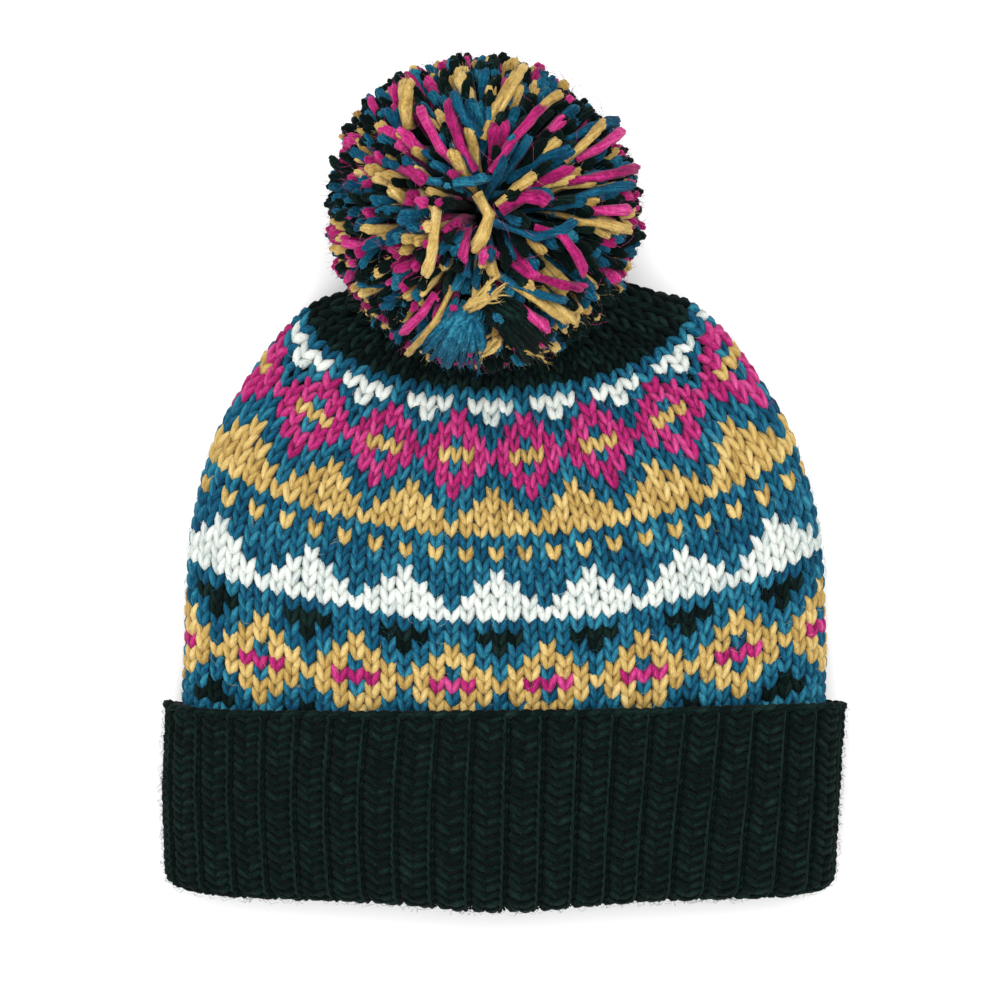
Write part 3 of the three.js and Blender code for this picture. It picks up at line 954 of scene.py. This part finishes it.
def cuff_binding(surface):
    """The chain that binds the cuff's upper edge."""
    turn = (np.arange(LINKS)[:, None] + LINK_STEPS) / LINKS
    run = CUFF_RUN - LINK_SLANT - LINK_SLANT * (1 - smooth_step(LINK_STEPS))[None]
    arch = np.sin(np.pi * (LINK_STEPS - LINK_STEPS[0]) / (LINK_STEPS[-1] - LINK_STEPS[0]))
    height = (LINK_ARCH * arch - LINK_SUNK)[None]
    spines = surface.at(run, ribs_swayed(turn, run), height)
    girths = LINK_GIRTH * LINK_GIRTHS * random.uniform(*LINK_GIRTH_SPREAD, (LINKS, 1))
    points, faces, smooth, place = sweep(spines, girths, twist=LINK_TWIST)
    shade = np.repeat(random.uniform(0, 1, LINKS), len(points) // LINKS)
    add_parts("cuff_binding", [(points, faces, smooth, place, shade)], "G", "cuff")


# Grooves beside a rib's raised line: place and width in ribs, depth
GROOVES = ((0.16, 0.07, 0.6 * MM), (0.97, 0.04, 0.5 * MM))


def rib_relief(turn):
    """Height of the cuff's ground across a rib, which is below 0 in its grooves."""
    place = (turn * RIB_COUNT) % 1
    return sum(-depth * np.exp(-(((place - at) / width) ** 2)) for at, width, depth in GROOVES)


CUFF_WALL_COLUMNS = 6 * RIB_COUNT
CUFF_WALL_ROWS = 66
# A darker tone for the cuff's wall: painted shade where it shows between the ribs' legs
CUFF_WALL_PAINTED_SHADE = 0.3
CUFF_PURL_RELIEF = 0.3 * MM
INSIDE_RIB_RELIEF = 0.8 * MM
RIB_BACKING = 1.2 * MM
BACKING_FROM = 0.6  # of the inner run

# How far up each side of the slit between the layers has its rings, from the upper edge down and up again
SLIT_DOWN = np.array([CUFF_DEPTH - 0.6 * MM, CUFF_DEPTH - 2 * MM, CUFF_DEPTH * 0.7, INNER_TOP, CUFF_LAYER])
SLIT_UP = np.array([CUFF_LAYER, INNER_TOP * 0.5, INNER_TOP])


def cuff_wall(surface):
    """The cuff's two layers and its fold as one closed body, under the ribs' legs."""
    columns = CUFF_WALL_COLUMNS
    turns = np.arange(columns)[None] / columns
    angle = 2 * np.pi * RIB_COUNT * turns
    face = np.linspace(0, CUFF_RUN - RIB_BACKING, CUFF_WALL_ROWS)[:, None]
    inner = face < INNER_RUN
    start = BACKING_FROM * INNER_RUN
    lowered = -RIB_BACKING * smooth_step((face - start) / (INNER_RUN - start))
    purls = CUFF_PURL_RELIEF * np.cos(2 * np.pi * face / CUFF_COURSE) * inner
    ribbed = np.where(inner, INSIDE_RIB_RELIEF * np.cos(angle), rib_relief(turns))
    outside = surface.at(face, ribs_swayed(turns, face), lowered + purls + ribbed)
    down = rings_of(cuff_form(SLIT_DOWN), columns, np.full((len(SLIT_DOWN), 1), CUFF_SLIT))
    up = rings_of(cuff_form(SLIT_UP), columns)
    points, faces = loft(np.concatenate((outside, down, up)), capped=False)
    rows = len(points) // columns
    place = np.zeros((rows, columns, 3))
    place[..., 0] = np.linspace(0, 2 * CUFF_RUN / MM, rows)[:, None]
    place[..., 1] = np.cos(angle)
    place[..., 2] = np.sin(angle)
    add_piece("cuff_wall", "G", "cuff", points, faces, True, place, CUFF_WALL_PAINTED_SHADE)


# Pompom

POMPOM_CENTRE = np.array((POMPOM_SIDE, CROWN_Y + POMPOM_BEYOND, POMPOM_LEVEL))
STRAND_COUNT = 2000
STRAND_GIRTH = 1.9 * MM
GIRTH_UNEVEN = 0.13
STRAND_STEPS = np.array((0, 0.45, 0.8, 0.955, 1.0))
STRAND_SHARES = {"B": 0.27, "G": 0.35, "P": 0.21, "M": 0.17}
STRAND_GRAIN = np.array((1.0, 0.5, 0.5))  # how much finer the wool's grain is along and across loose yarn
STRAND_SHADES = (0, 0.8)
LOOSE_GIRTH = 0.85
LOOSE_RISE = 1.3  # how soon along it a placed strand has come all the way out
LOOSE_SUNK = 0.01

# Where a strand starts and ends, how uneven its end is and how uneven it may get, shares of the radius
STRAND_START = 0.5
STRAND_REACH = 0.935
REACH_UNEVEN = 0.028
REACH_LEAST = -0.09
REACH_MOST = 0.045

# A strand's plies at each of its steps: how far off its middle and how thick, shares of its girth
STRAND_PLIES = 3
PLY_OFFSETS = np.array((0.24, 0.28, 0.32, 0.4, 0.44))
PLY_GIRTHS = np.array((0.66, 0.72, 0.78, 0.72, 0.4))
PLY_TWIST = 170.0  # radians a metre
PLY_TRIM = 0.8 * MM
PLY_GIRTH_SPREAD = (0.9, 1.1)
STRAND_TWIST = 60.0

# Strands lean out from a parting, most towards one side, where they lie open. Lean: a share of the way over.
PARTING = (0.2, 0.33)  # half its width and length, shares of the radius
STRAND_LEAN = 0.75
STRAND_LEAN_SWING = 0.5
STRAND_LEAN_TOWARDS = 0.5  # radians from +X
LEAN_UNEVEN = 0.1
SWIRL_UNEVEN = 0.14  # radians
BEND_UNEVEN = 1.0 * MM
DIRECTION_UNEVEN = 0.03
OPEN_GREEN = 0.6  # the share of the strands that is green instead, where they lie open
OPEN_GIRTH = 0.3  # how much thicker they are there
THINNED = 0.72  # the share of them left out there, near the top
THINNED_WITHIN = 0.5  # radians from the top
THINNED_FADE = 0.7

# How a strand lies over what is under it, shares of its girth, and how deep in the body it is left out
OVER_BODY = 0.6
OVER_GROUND = 0.92
BURIED = 5 * MM

# Where the ball is fuller or flatter, seen from above: degrees from +X; by how much, a share of its radius
BULGES = ((142, 0.04), (195, 0.02), (50, -0.05))
BULGE_WIDTH = 20.0  # degrees

# Strands that lie over the others: yarn; from, through and to, across and up, shares of the pompom's radius
# as seen from above; how far out they start and end, shares of its radius; girth, a share of a strand's.
LOOSE_STRANDS = (
    ("P", (-0.53, 0.21), (-0.43, 0.18), (-0.35, 0.12), 0.9, 0.97, 1.5),
    ("B", (-0.4, 0.14), (-0.2, 0.11), (0.02, 0.15), 0.97, 0.86, 1.15),
    ("M", (-0.04, 0.05), (0.03, -0.09), (-0.06, -0.29), 0.84, 0.88, 1.5),
    ("M", (-0.38, 0.07), (-0.28, -0.08), (-0.35, -0.44), 0.84, 0.97, 1.35),
    ("P", (0.1, -0.05), (0.25, 0.03), (0.38, 0.0), 0.86, 0.95, 1.7),
    ("M", (0.08, -0.02), (0.2, 0.08), (0.3, 0.15), 0.86, 0.97, 1.2),
    ("B", (0.06, -0.12), (0.33, -0.21), (0.54, -0.1), 0.86, 0.98, 1.2),
    ("P", (0.3, -0.15), (0.47, -0.2), (0.6, -0.42), 0.9, 1.02, 1.15),
    ("P", (0.02, -0.27), (0.29, -0.44), (0.6, -0.5), 0.86, 1.02, 1.15),
    ("B", (-0.05, -0.31), (0.16, -0.48), (0.49, -0.58), 0.86, 1.0, 0.95),
    ("M", (0.08, -0.44), (0.3, -0.57), (0.49, -0.7), 0.9, 1.03, 0.9),
    ("M", (-0.19, -0.5), (-0.3, -0.71), (-0.47, -0.88), 0.94, 1.03, 0.85),
    ("P", (-0.29, -0.54), (-0.38, -0.66), (-0.49, -0.76), 0.95, 1.04, 1.05),
    ("P", (-0.13, 0.18), (-0.27, 0.34), (-0.38, 0.57), 0.86, 1.0, 1.15),
    ("P", (-0.05, 0.19), (-0.15, 0.35), (-0.22, 0.6), 0.86, 1.0, 1.2),
    ("B", (-0.02, 0.4), (-0.12, 0.5), (-0.18, 0.66), 0.9, 1.02, 1.15),
    ("M", (-0.01, 0.38), (0.08, 0.6), (0.2, 0.8), 0.88, 1.0, 1.1),
    ("M", (0.05, 0.45), (0.15, 0.66), (0.25, 0.86), 0.9, 1.02, 1.05),
    ("P", (0.04, 0.18), (0.16, 0.35), (0.35, 0.58), 0.86, 1.0, 1.2),
    ("M", (0.33, 0.56), (0.38, 0.61), (0.45, 0.66), 0.98, 1.02, 1.1),
    ("M", (-0.45, 0.45), (-0.47, 0.6), (-0.46, 0.74), 0.9, 1.03, 1.7),
    ("B", (0.5, 0.38), (0.66, 0.47), (0.8, 0.53), 0.9, 1.0, 1.4),
    ("P", (0.5, 0.13), (0.72, 0.17), (0.92, 0.24), 0.9, 1.02, 1.2),
    ("B", (0.5, 0.02), (0.7, 0.08), (0.9, 0.13), 0.9, 1.02, 1.15),
    ("M", (0.48, 0.25), (0.6, 0.36), (0.72, 0.5), 0.9, 1.04, 1.1),
    ("P", (0.55, 0.27), (0.7, 0.35), (0.84, 0.47), 0.9, 1.03, 1.2),
    ("P", (0.62, -0.04), (0.75, -0.04), (0.88, -0.02), 0.92, 1.03, 1.3),
    ("M", (0.52, -0.11), (0.7, -0.12), (0.86, -0.14), 0.92, 1.02, 1.1),
    ("P", (0.2, -0.6), (0.3, -0.68), (0.38, -0.74), 0.92, 1.03, 1.3),
    ("M", (0.36, -0.56), (0.45, -0.63), (0.53, -0.69), 0.92, 1.03, 1.15),
)

# Frayed tufts over the crown: yarn; from and to, as above; width where it starts and ends; strands; girth.
TUFTS = (
    ("G", (0.05, -0.6), (0.33, -0.83), 0.12, 0.2, 11, 1.0),
    ("G", (0.05, -0.6), (0.35, -0.86), 0.14, 0.27, 26, 0.3),
    ("B", (-0.12, -0.62), (-0.3, -0.88), 0.12, 0.22, 9, 1.0),
    ("B", (-0.08, -0.64), (-0.1, -0.88), 0.08, 0.18, 6, 1.0),
    ("B", (-0.1, -0.62), (-0.22, -0.91), 0.18, 0.42, 32, 0.3),
    ("M", (-0.13, -0.64), (0.06, -0.52), 0.03, 0.12, 7, 0.62),
    ("M", (-0.1, -0.62), (0.09, -0.51), 0.05, 0.16, 8, 0.2),
    ("M", (0.1, -0.78), (0.0, -0.89), 0.02, 0.08, 6, 0.42),
    ("M", (0.14, -0.83), (0.38, -0.87), 0.02, 0.06, 6, 0.32),
)
TUFT_ROOT_OUT = 0.9
TUFT_TIP_OUT = (0.97, 0.995)
TUFT_ROOT_UNEVEN = 0.02
TUFT_MIDDLE_UNEVEN = 0.012
TUFT_TIP_UNEVEN = 0.025
TUFT_WAVES = (3, 6)  # radians along it
TUFT_WAVE_HEIGHT = (0.003, 0.012)
TUFT_GIRTHS = np.linspace(1.1, 0.6, len(STRAND_STEPS))
TUFT_GIRTH_SPREAD = (0.8, 1.2)
TUFT_SHADES = (0.2, 0.8)
TOP_CELL = 2 * MM


def top_of_body(surface):
    """A look-up of the height of the body's upper face at places, 0 where there is no body."""
    low = np.array((-BODY_WIDTH, -BODY_WIDTH))
    size = int(2 * BODY_WIDTH / TOP_CELL) + 1
    heights = np.zeros((size, size))
    flat = surface.points.reshape(-1, 3)
    at = ((flat[:, :2] - low) / TOP_CELL).astype(int)
    np.maximum.at(heights, (at[:, 0], at[:, 1]), flat[:, 2])

    def look_up(points):
        spots = np.clip(((points[..., :2] - low) / TOP_CELL).astype(int), 0, size - 1)
        return heights[spots[..., 0], spots[..., 1]]

    return look_up


def strand_ends():
    """Directions of the strands' ends, even over the ball but for the parting and where they lie open."""
    k = np.arange(STRAND_COUNT)
    z = 1 - (2 * k + 1) / STRAND_COUNT
    around = k * np.pi * (3 - np.sqrt(5))
    ring = np.sqrt(1 - z * z)
    ends = np.stack((ring * np.cos(around), ring * np.sin(around), z), axis=1)
    ends = unit(ends + random.normal(0, DIRECTION_UNEVEN, ends.shape))
    parting = (ends[:, 0] / PARTING[0]) ** 2 + (ends[:, 1] / PARTING[1]) ** 2
    openness = strand_lean(ends) / (STRAND_LEAN + STRAND_LEAN_SWING)
    polar = np.arccos(ends[:, 2])
    near_top = 1 - smooth_step((polar - THINNED_WITHIN) / THINNED_FADE)
    kept = random.uniform(0, 1, STRAND_COUNT) > THINNED * openness * near_top
    return ends[((parting > 1) & kept) | (ends[:, 2] < 0)]


def strand_lean(ends):
    """How far strands lean out from the parting, by their ends."""
    around = np.arctan2(ends[:, 1], ends[:, 0])
    return STRAND_LEAN + STRAND_LEAN_SWING * np.cos(around - STRAND_LEAN_TOWARDS)


def bulge(around):
    """How much further the ball reaches in directions, as a share of its radius."""
    degrees = np.degrees(around)[:, None]
    places, amounts = np.array(BULGES).T
    away = (degrees - places + 180) % 360 - 180
    return np.sum(amounts * np.exp(-((away / BULGE_WIDTH) ** 2)), axis=1)


def pompom_strands(look_up):
    """Spines, girths and yarns of the strands all over the ball."""
    ends = strand_ends()
    count = len(ends)
    polar = np.arccos(np.clip(ends[:, 2], -1, 1))
    around = np.arctan2(ends[:, 1], ends[:, 0])
    lean = strand_lean(ends) + random.normal(0, LEAN_UNEVEN, count)
    steps = STRAND_STEPS[None]
    leaning = polar[:, None] - 0.5 * lean[:, None] * np.sin(2 * polar[:, None]) * (1 - steps)
    uneven = np.clip(random.normal(0, REACH_UNEVEN, (count, 1)), REACH_LEAST, REACH_MOST)
    reach = POMPOM_RADIUS * (STRAND_REACH + uneven) * (1 + bulge(around) * np.sin(polar))[:, None]
    radius = reach * (STRAND_START + (1 - STRAND_START) * steps)
    swirl = around[:, None] + random.normal(0, SWIRL_UNEVEN, (count, 1)) * (1 - steps)
    spines = on_ball(radius, leaning, swirl)
    bend = random.normal(0, BEND_UNEVEN, (count, 1, 3)) * np.sin(np.pi * steps)[..., None]
    spines = spines + bend + POMPOM_CENTRE
    open_side = np.maximum(lean - STRAND_LEAN, 0) * np.sin(2 * np.minimum(polar, np.pi / 2))
    girths = STRAND_GIRTH * (1 + OPEN_GIRTH * open_side + random.normal(0, GIRTH_UNEVEN, count))
    body_top = look_up(spines)
    kept = (body_top[:, -1] == 0) | (spines[:, -1, 2] >= body_top[:, -1] - BURIED)
    over_body = np.where(body_top > 0, body_top + OVER_BODY * girths[:, None], 0)
    low = np.maximum(over_body, OVER_GROUND * girths[:, None])
    spines[..., 2] = np.maximum(spines[..., 2], low)
    yarns = random.choice(list(STRAND_SHARES), count, p=list(STRAND_SHARES.values()))
    yarns[random.uniform(0, 1, count) < OPEN_GREEN * open_side] = "G"
    return spines[kept], girths[kept], yarns[kept]


def on_ball(radius, polar, around):
    """Points about a ball's middle, at angles from its top and round it from +X."""
    flat = radius * np.sin(polar)
    up = radius * np.cos(polar) + 0 * around
    return np.stack((flat * np.cos(around), flat * np.sin(around), up), axis=-1)


def over_ball(places, out, look_up, girth):
    """Points over the pompom at places seen from above, in shares of its radius, and out at shares of it."""
    flat = np.asarray(places) * POMPOM_RADIUS
    share = np.clip(np.sum(np.asarray(places) ** 2, axis=-1) / np.asarray(out) ** 2, 0, 1)
    height = np.sqrt(1 - share) * POMPOM_RADIUS * out
    points = np.concatenate((flat, height[..., None]), axis=-1) + POMPOM_CENTRE
    body_top = look_up(points)
    points[..., 2] = np.maximum(points[..., 2], np.where(body_top > 0, body_top + girth, girth))
    return points


def curve_through(start, middle, end, steps):
    """Places on the parabola that passes start, middle and end."""
    steps = np.asarray(steps)[:, None]
    control = 2 * np.array(middle) - (np.array(start) + np.array(end)) / 2
    return (1 - steps) ** 2 * start + 2 * steps * (1 - steps) * control + steps**2 * end


def as_arrays(strands):
    """Spines, girths and yarns of a list of strands."""
    return tuple(np.array(values) for values in zip(*strands))


def loose_strands(look_up):
    """The strands placed one by one over the others."""
    strands = []
    for yarn, start, middle, end, deep, high, share in LOOSE_STRANDS:
        places = curve_through(np.array(start), middle, np.array(end), STRAND_STEPS)
        out = deep + (high - deep) * smooth_step(STRAND_STEPS * LOOSE_RISE) - LOOSE_SUNK
        girth = share * LOOSE_GIRTH * STRAND_GIRTH
        strands.append((over_ball(places, out, look_up, girth), girth, yarn))
    return as_arrays(strands)


def tuft_strands(look_up):
    """Strands that lie matted together over the crown, and fray towards their ends."""
    strands = []
    for yarn, start, end, narrow, wide, count, share in TUFTS:
        start = np.array(start)
        end = np.array(end)
        across = unit(np.array((start[1] - end[1], end[0] - start[0])))
        for k in range(count):
            side = (k + 0.5) / count - 0.5
            root = start + across * side * narrow + random.normal(0, TUFT_ROOT_UNEVEN, 2)
            tip = end + across * side * wide + random.normal(0, TUFT_TIP_UNEVEN, 2)
            middle = (root + tip) / 2 + random.normal(0, TUFT_MIDDLE_UNEVEN, 2)
            places = curve_through(root, middle, tip, STRAND_STEPS)
            waves = STRAND_STEPS * random.uniform(*TUFT_WAVES) + random.uniform(0, 6)
            wave = np.sin(waves) * random.uniform(*TUFT_WAVE_HEIGHT)
            places = places + across * wave[:, None]
            tip_out = random.uniform(*TUFT_TIP_OUT)
            out = TUFT_ROOT_OUT + (tip_out - TUFT_ROOT_OUT) * smooth_step(2 * STRAND_STEPS)
            girths = random.uniform(*TUFT_GIRTH_SPREAD) * share * STRAND_GIRTH * TUFT_GIRTHS
            strands.append((over_ball(places, out, look_up, girths), girths, yarn))
    return as_arrays(strands)


CORE_ROWS = 24
CORE_COLUMNS = 40
CORE_RADIUS = 0.42 * POMPOM_RADIUS
# The core's dark tone: painted shade between the strands
CORE_PAINTED_SHADE = 0.2


def pompom_shade_core():
    """What is seen between the strands: a dark ball of painted shade where their inner ends lie packed
    together.
    """
    polar = np.pi * (np.arange(CORE_ROWS)[:, None] + 0.5) / CORE_ROWS
    around = -2 * np.pi * np.arange(CORE_COLUMNS)[None] / CORE_COLUMNS
    points, faces = loft(on_ball(CORE_RADIUS, polar, around) + POMPOM_CENTRE, capped=True)
    add_piece("pompom_shade_core", "G", "pompom", points, faces, True, points / MM, CORE_PAINTED_SHADE)


def plied(spines, girths):
    """The plies of strands, which come apart at their cut ends: spines and girths, one ply after another."""
    tangents, side, other, lengths = frames_along(spines)
    count = len(spines)
    phase = random.uniform(0, 2 * np.pi, (count, 1))
    ply_spines = []
    ply_girths = []
    for ply in range(STRAND_PLIES):
        angle = (phase + 2 * np.pi * ply / STRAND_PLIES + PLY_TWIST * lengths)[..., None]
        offset = (girths[:, None] * PLY_OFFSETS)[..., None]
        laid = spines + offset * (np.cos(angle) * side + np.sin(angle) * other)
        trim = np.clip(random.normal(0, PLY_TRIM, (count, 1, 1)), -2 * PLY_TRIM, 2 * PLY_TRIM)
        laid[:, -2:] += trim * tangents[:, -2:]
        ply_spines.append(laid)
        ply_girths.append(girths[:, None] * PLY_GIRTHS * random.uniform(*PLY_GIRTH_SPREAD, (count, 1)))
    return np.concatenate(ply_spines), np.concatenate(ply_girths)


def pompom(look_up):
    """The ball's strands, a piece for each yarn, with their fuzz and the dark core of painted shade behind
    them.
    """
    groups = (pompom_strands(look_up), loose_strands(look_up))
    spines, girths, yarns = (np.concatenate(values) for values in zip(*groups))
    tuft_spines, tuft_girths, tuft_yarns = tuft_strands(look_up)
    for letter in STRAND_SHARES:
        chosen = yarns == letter
        tufted = tuft_yarns == letter
        ply_spines, ply_girths = plied(spines[chosen], girths[chosen])
        plies = np.concatenate((ply_spines, tuft_spines[tufted]))
        ply_girths = np.concatenate((ply_girths, tuft_girths[tufted]))
        shades = np.concatenate((
            np.tile(random.uniform(*STRAND_SHADES, int(chosen.sum())), STRAND_PLIES),
            random.uniform(*TUFT_SHADES, int(tufted.sum())),
        ))
        add_parts(f"strands_{NAMES[letter]}", [swept(plies, ply_girths, shades)], letter, "pompom")
        fuzz = strand_fuzz(
            np.concatenate((spines[chosen], tuft_spines[tufted])),
            np.concatenate((girths[chosen], tuft_girths[tufted].mean(axis=1))),
        )
        add_parts(f"fuzz_{NAMES[letter]}", [fibres_of(fuzz)], letter, "pompom")
    pompom_shade_core()


def swept(spines, girths, shades):
    """Strands and their shades as one part for add_parts. Their cut ends are shaded smooth too."""
    points, faces, smooth, place = sweep(spines, girths, twist=STRAND_TWIST, relief=0.0)
    shade = np.repeat(shades, len(points) // len(shades))
    return points, faces, np.ones_like(smooth), place * STRAND_GRAIN, shade


# Loose fibres

FIBRE_GIRTH = 0.06 * MM
FIBRE_SHADE = 1.1  # lighter than the yarn, as fibres catch the light
FIBRE_STEPS = np.array((0, 0.5, 1.0))
FIBRE_TAPER = (1.1, 0.5)
FIBRE_SIDES = 3
FUZZ_PER_STRAND = 6
FUZZ_LENGTH = (0.8, 3.0)  # mm
FUZZ_UNEVEN = 0.35
FUZZ_OUTWARDS = (0.2, 0.9)
FUZZ_ON_END = (0.2, 1.0)  # how far from the middle of a cut end, a share of its girth
SURFACE_FIBRE_LENGTH = (1.5, 4.0)  # mm
SURFACE_FIBRE_BEND = 1.1  # radians
SURFACE_FIBRE_SUNK = 0.3 * MM
SURFACE_FIBRE_ARCH = 0.8  # of half a wave
STITCH_FIBRES_RISE = 1.2 * MM
CUFF_FIBRES = 5500
CUFF_FIBRES_RISE = 2.2 * MM
HAZE = {"B": 120, "P": 120, "G": 160}
HAZE_LOWEST = -0.6  # of the radius, under the pompom's middle
HAZE_FROM = (0.92, 0.97)
HAZE_LENGTH = (3, 7)  # mm
HAZE_OUTWARDS = (0.1, 0.6)
HAZE_CURL = 0.6


def fibres_of(spines):
    """Thin tapering fibres along spines, as one part for add_parts."""
    radii = np.broadcast_to(FIBRE_GIRTH * np.linspace(*FIBRE_TAPER, spines.shape[1]), spines.shape[:2])
    points, faces, smooth, place = sweep(spines, radii, sides=FIBRE_SIDES, relief=0.0)
    return points, faces, smooth, place, np.full(len(points), FIBRE_SHADE)


def strand_fuzz(spines, girths):
    """Short straight fibres that stand off the pompom's strands, half of them round their cut ends."""
    tangents, side, other, _ = frames_along(spines)
    count = len(spines)
    every = np.arange(count)
    fibres = []
    for k in range(FUZZ_PER_STRAND):
        at_end = k % 2 == 0
        last = len(STRAND_STEPS) - 1
        ring = np.full(count, last) if at_end else random.integers(1, last, count)
        angle = random.uniform(0, 2 * np.pi, (count, 1))
        beside = np.cos(angle) * side[every, ring] + np.sin(angle) * other[every, ring]
        reach = random.uniform(*FUZZ_ON_END, (count, 1)) if at_end else 1
        start = spines[every, ring] + beside * girths[:, None] * reach
        heading = tangents[every, ring] + beside * random.uniform(*FUZZ_OUTWARDS, (count, 1))
        heading = unit(heading + random.normal(0, FUZZ_UNEVEN, (count, 3)))
        length = random.uniform(*FUZZ_LENGTH, (count, 1)) * MM
        fibres.append(np.stack((start, start + length * heading), axis=1))
    return np.concatenate(fibres)


def pompom_haze(count):
    """Longer fibres that stand off the whole ball."""
    out = unit(random.normal(0, 1, (count, 3)))
    out = out[out[:, 2] > HAZE_LOWEST]
    count = len(out)
    sideways = unit(np.cross(out, random.normal(0, 1, (count, 3))))
    start = POMPOM_CENTRE + out * POMPOM_RADIUS * random.uniform(*HAZE_FROM, (count, 1))
    length = random.uniform(*HAZE_LENGTH, (count, 1, 1)) * MM
    heading = sideways + out * random.uniform(*HAZE_OUTWARDS, (count, 1))
    curl = unit(np.cross(out, sideways)) * random.normal(0, HAZE_CURL, (count, 1))
    steps = FIBRE_STEPS[None, :, None]
    return start[:, None] + length * (heading[:, None] * steps + curl[:, None] * steps**2)


def surface_fuzz(surface, turn, row, pitch, highest):
    """Short fibres on a surface from turns and rows of it. pitch: how far apart its rows lie."""
    count = len(turn)
    heading = random.uniform(0, 2 * np.pi, (count, 1))
    bend = random.normal(0, SURFACE_FIBRE_BEND, (count, 1))
    length = random.uniform(*SURFACE_FIBRE_LENGTH, (count, 1)) * MM
    steps = FIBRE_STEPS[None]
    along = np.sin(heading + bend * steps) * steps * length / pitch
    across = np.cos(heading + bend * steps) * steps * length / (STITCHES * STITCH_WIDTH)
    arch = np.sin(np.pi * steps * SURFACE_FIBRE_ARCH)
    rise = random.uniform(SURFACE_FIBRE_SUNK, highest, (count, 1)) * arch
    return surface.at(row[:, None] + along, turn[:, None] + across, rise - SURFACE_FIBRE_SUNK)


def stitch_fuzz(surface, turn, course, width):
    """Short fibres over each of some stitches."""
    turn = np.tile(turn, FUZZ_PER_STITCH)
    count = len(turn)
    turn = turn + random.uniform(-0.5, 0.5, count) * np.tile(width, FUZZ_PER_STITCH)
    course = np.tile(course, FUZZ_PER_STITCH) + random.uniform(-0.1, 1.1, count)
    return fibres_of(surface_fuzz(surface, turn, course, COURSE_PITCH, STITCH_FIBRES_RISE))


def cuff_fuzz(surface):
    """Fibres all over the cuff's outer side and its fold."""
    turn = random.uniform(0, 1, CUFF_FIBRES)
    run = random.uniform(INNER_RUN, CUFF_RUN, CUFF_FIBRES)
    fibres = fibres_of(surface_fuzz(surface, turn, run, 1.0, CUFF_FIBRES_RISE))
    add_parts("fuzz_cuff", [fibres], "G", "cuff")


def build_hat():
    """The whole hat, piece by piece."""
    surface = body_surface()
    ribbing = cuff_surface()
    look_up = top_of_body(surface)
    body_wall(surface)
    knit_body(surface)
    cuff_wall(ribbing)
    cuff_arms(ribbing)
    cuff_lines(ribbing)
    cuff_binding(ribbing)
    cuff_fuzz(ribbing)
    pompom(look_up)
    for letter, fibres in HAZE.items():
        add_parts(f"haze_{NAMES[letter]}", [fibres_of(pompom_haze(fibres))], letter, "pompom")


# Stage, light and camera

CAMERA_AIM = Vector((-1.2, -5.9, 25)) * MM
CAMERA_AWAY = 1.5
CAMERA_SENSOR = 36
CAMERA_END = 20
SEEN_ACROSS = 350 * MM
FLOOR_SIZE = 8
PAPER = (0.95, 0.95, 0.95, 1)
PAPER_ROUGHNESS = 0.9
SKY_STRENGTH = 1.12

# Lights: name; place; size in metres; power in watts. Each shines at the origin.
LIGHTS = (
    ("key", (0.1, 0.35, 1.5), 1.0, 12),
    ("fill", (-0.6, -0.5, 1.2), 0.9, 4),
)


def stage():
    """White paper under the hat, an even white sky and two soft lights."""
    bpy.ops.mesh.primitive_plane_add(size=FLOOR_SIZE)
    floor = bpy.context.object
    floor.name = "floor"
    n = Nodes("floor_paper")
    shader = n.add("ShaderNodeBsdfPrincipled", {"Base Color": PAPER, "Roughness": PAPER_ROUGHNESS})
    n.add("ShaderNodeOutputMaterial", {"Surface": shader.outputs[0]})
    floor.data.materials.append(n.material)
    world = bpy.data.worlds.new("studio")
    world.use_nodes = True
    background = world.node_tree.nodes["Background"]
    background.inputs["Color"].default_value = (1, 1, 1, 1)
    background.inputs["Strength"].default_value = SKY_STRENGTH
    bpy.context.scene.world = world
    for light in LIGHTS:
        area_light(*light)


def area_light(name, place, size, power):
    """A soft round light that shines at the origin."""
    light = bpy.data.lights.new(name, "AREA")
    light.shape = "DISK"
    light.size = size
    light.energy = power
    lamp = bpy.data.objects.new(name, light)
    lamp.location = place
    lamp.rotation_mode = "QUATERNION"
    lamp.rotation_quaternion = (-Vector(place)).to_track_quat("-Z", "Y")
    bpy.context.scene.collection.objects.link(lamp)


def camera():
    """The photo's camera, straight above the hat."""
    data = bpy.data.cameras.new("camera")
    data.sensor_width = CAMERA_SENSOR
    data.lens = data.sensor_width * CAMERA_AWAY / SEEN_ACROSS
    data.clip_end = CAMERA_END
    made = bpy.data.objects.new("camera", data)
    made.location = CAMERA_AIM + Vector((0, 0, CAMERA_AWAY))
    bpy.context.scene.collection.objects.link(made)
    bpy.context.scene.camera = made


build_hat()
stage()
camera()
bpy.context.scene.view_settings.view_transform = "Standard"
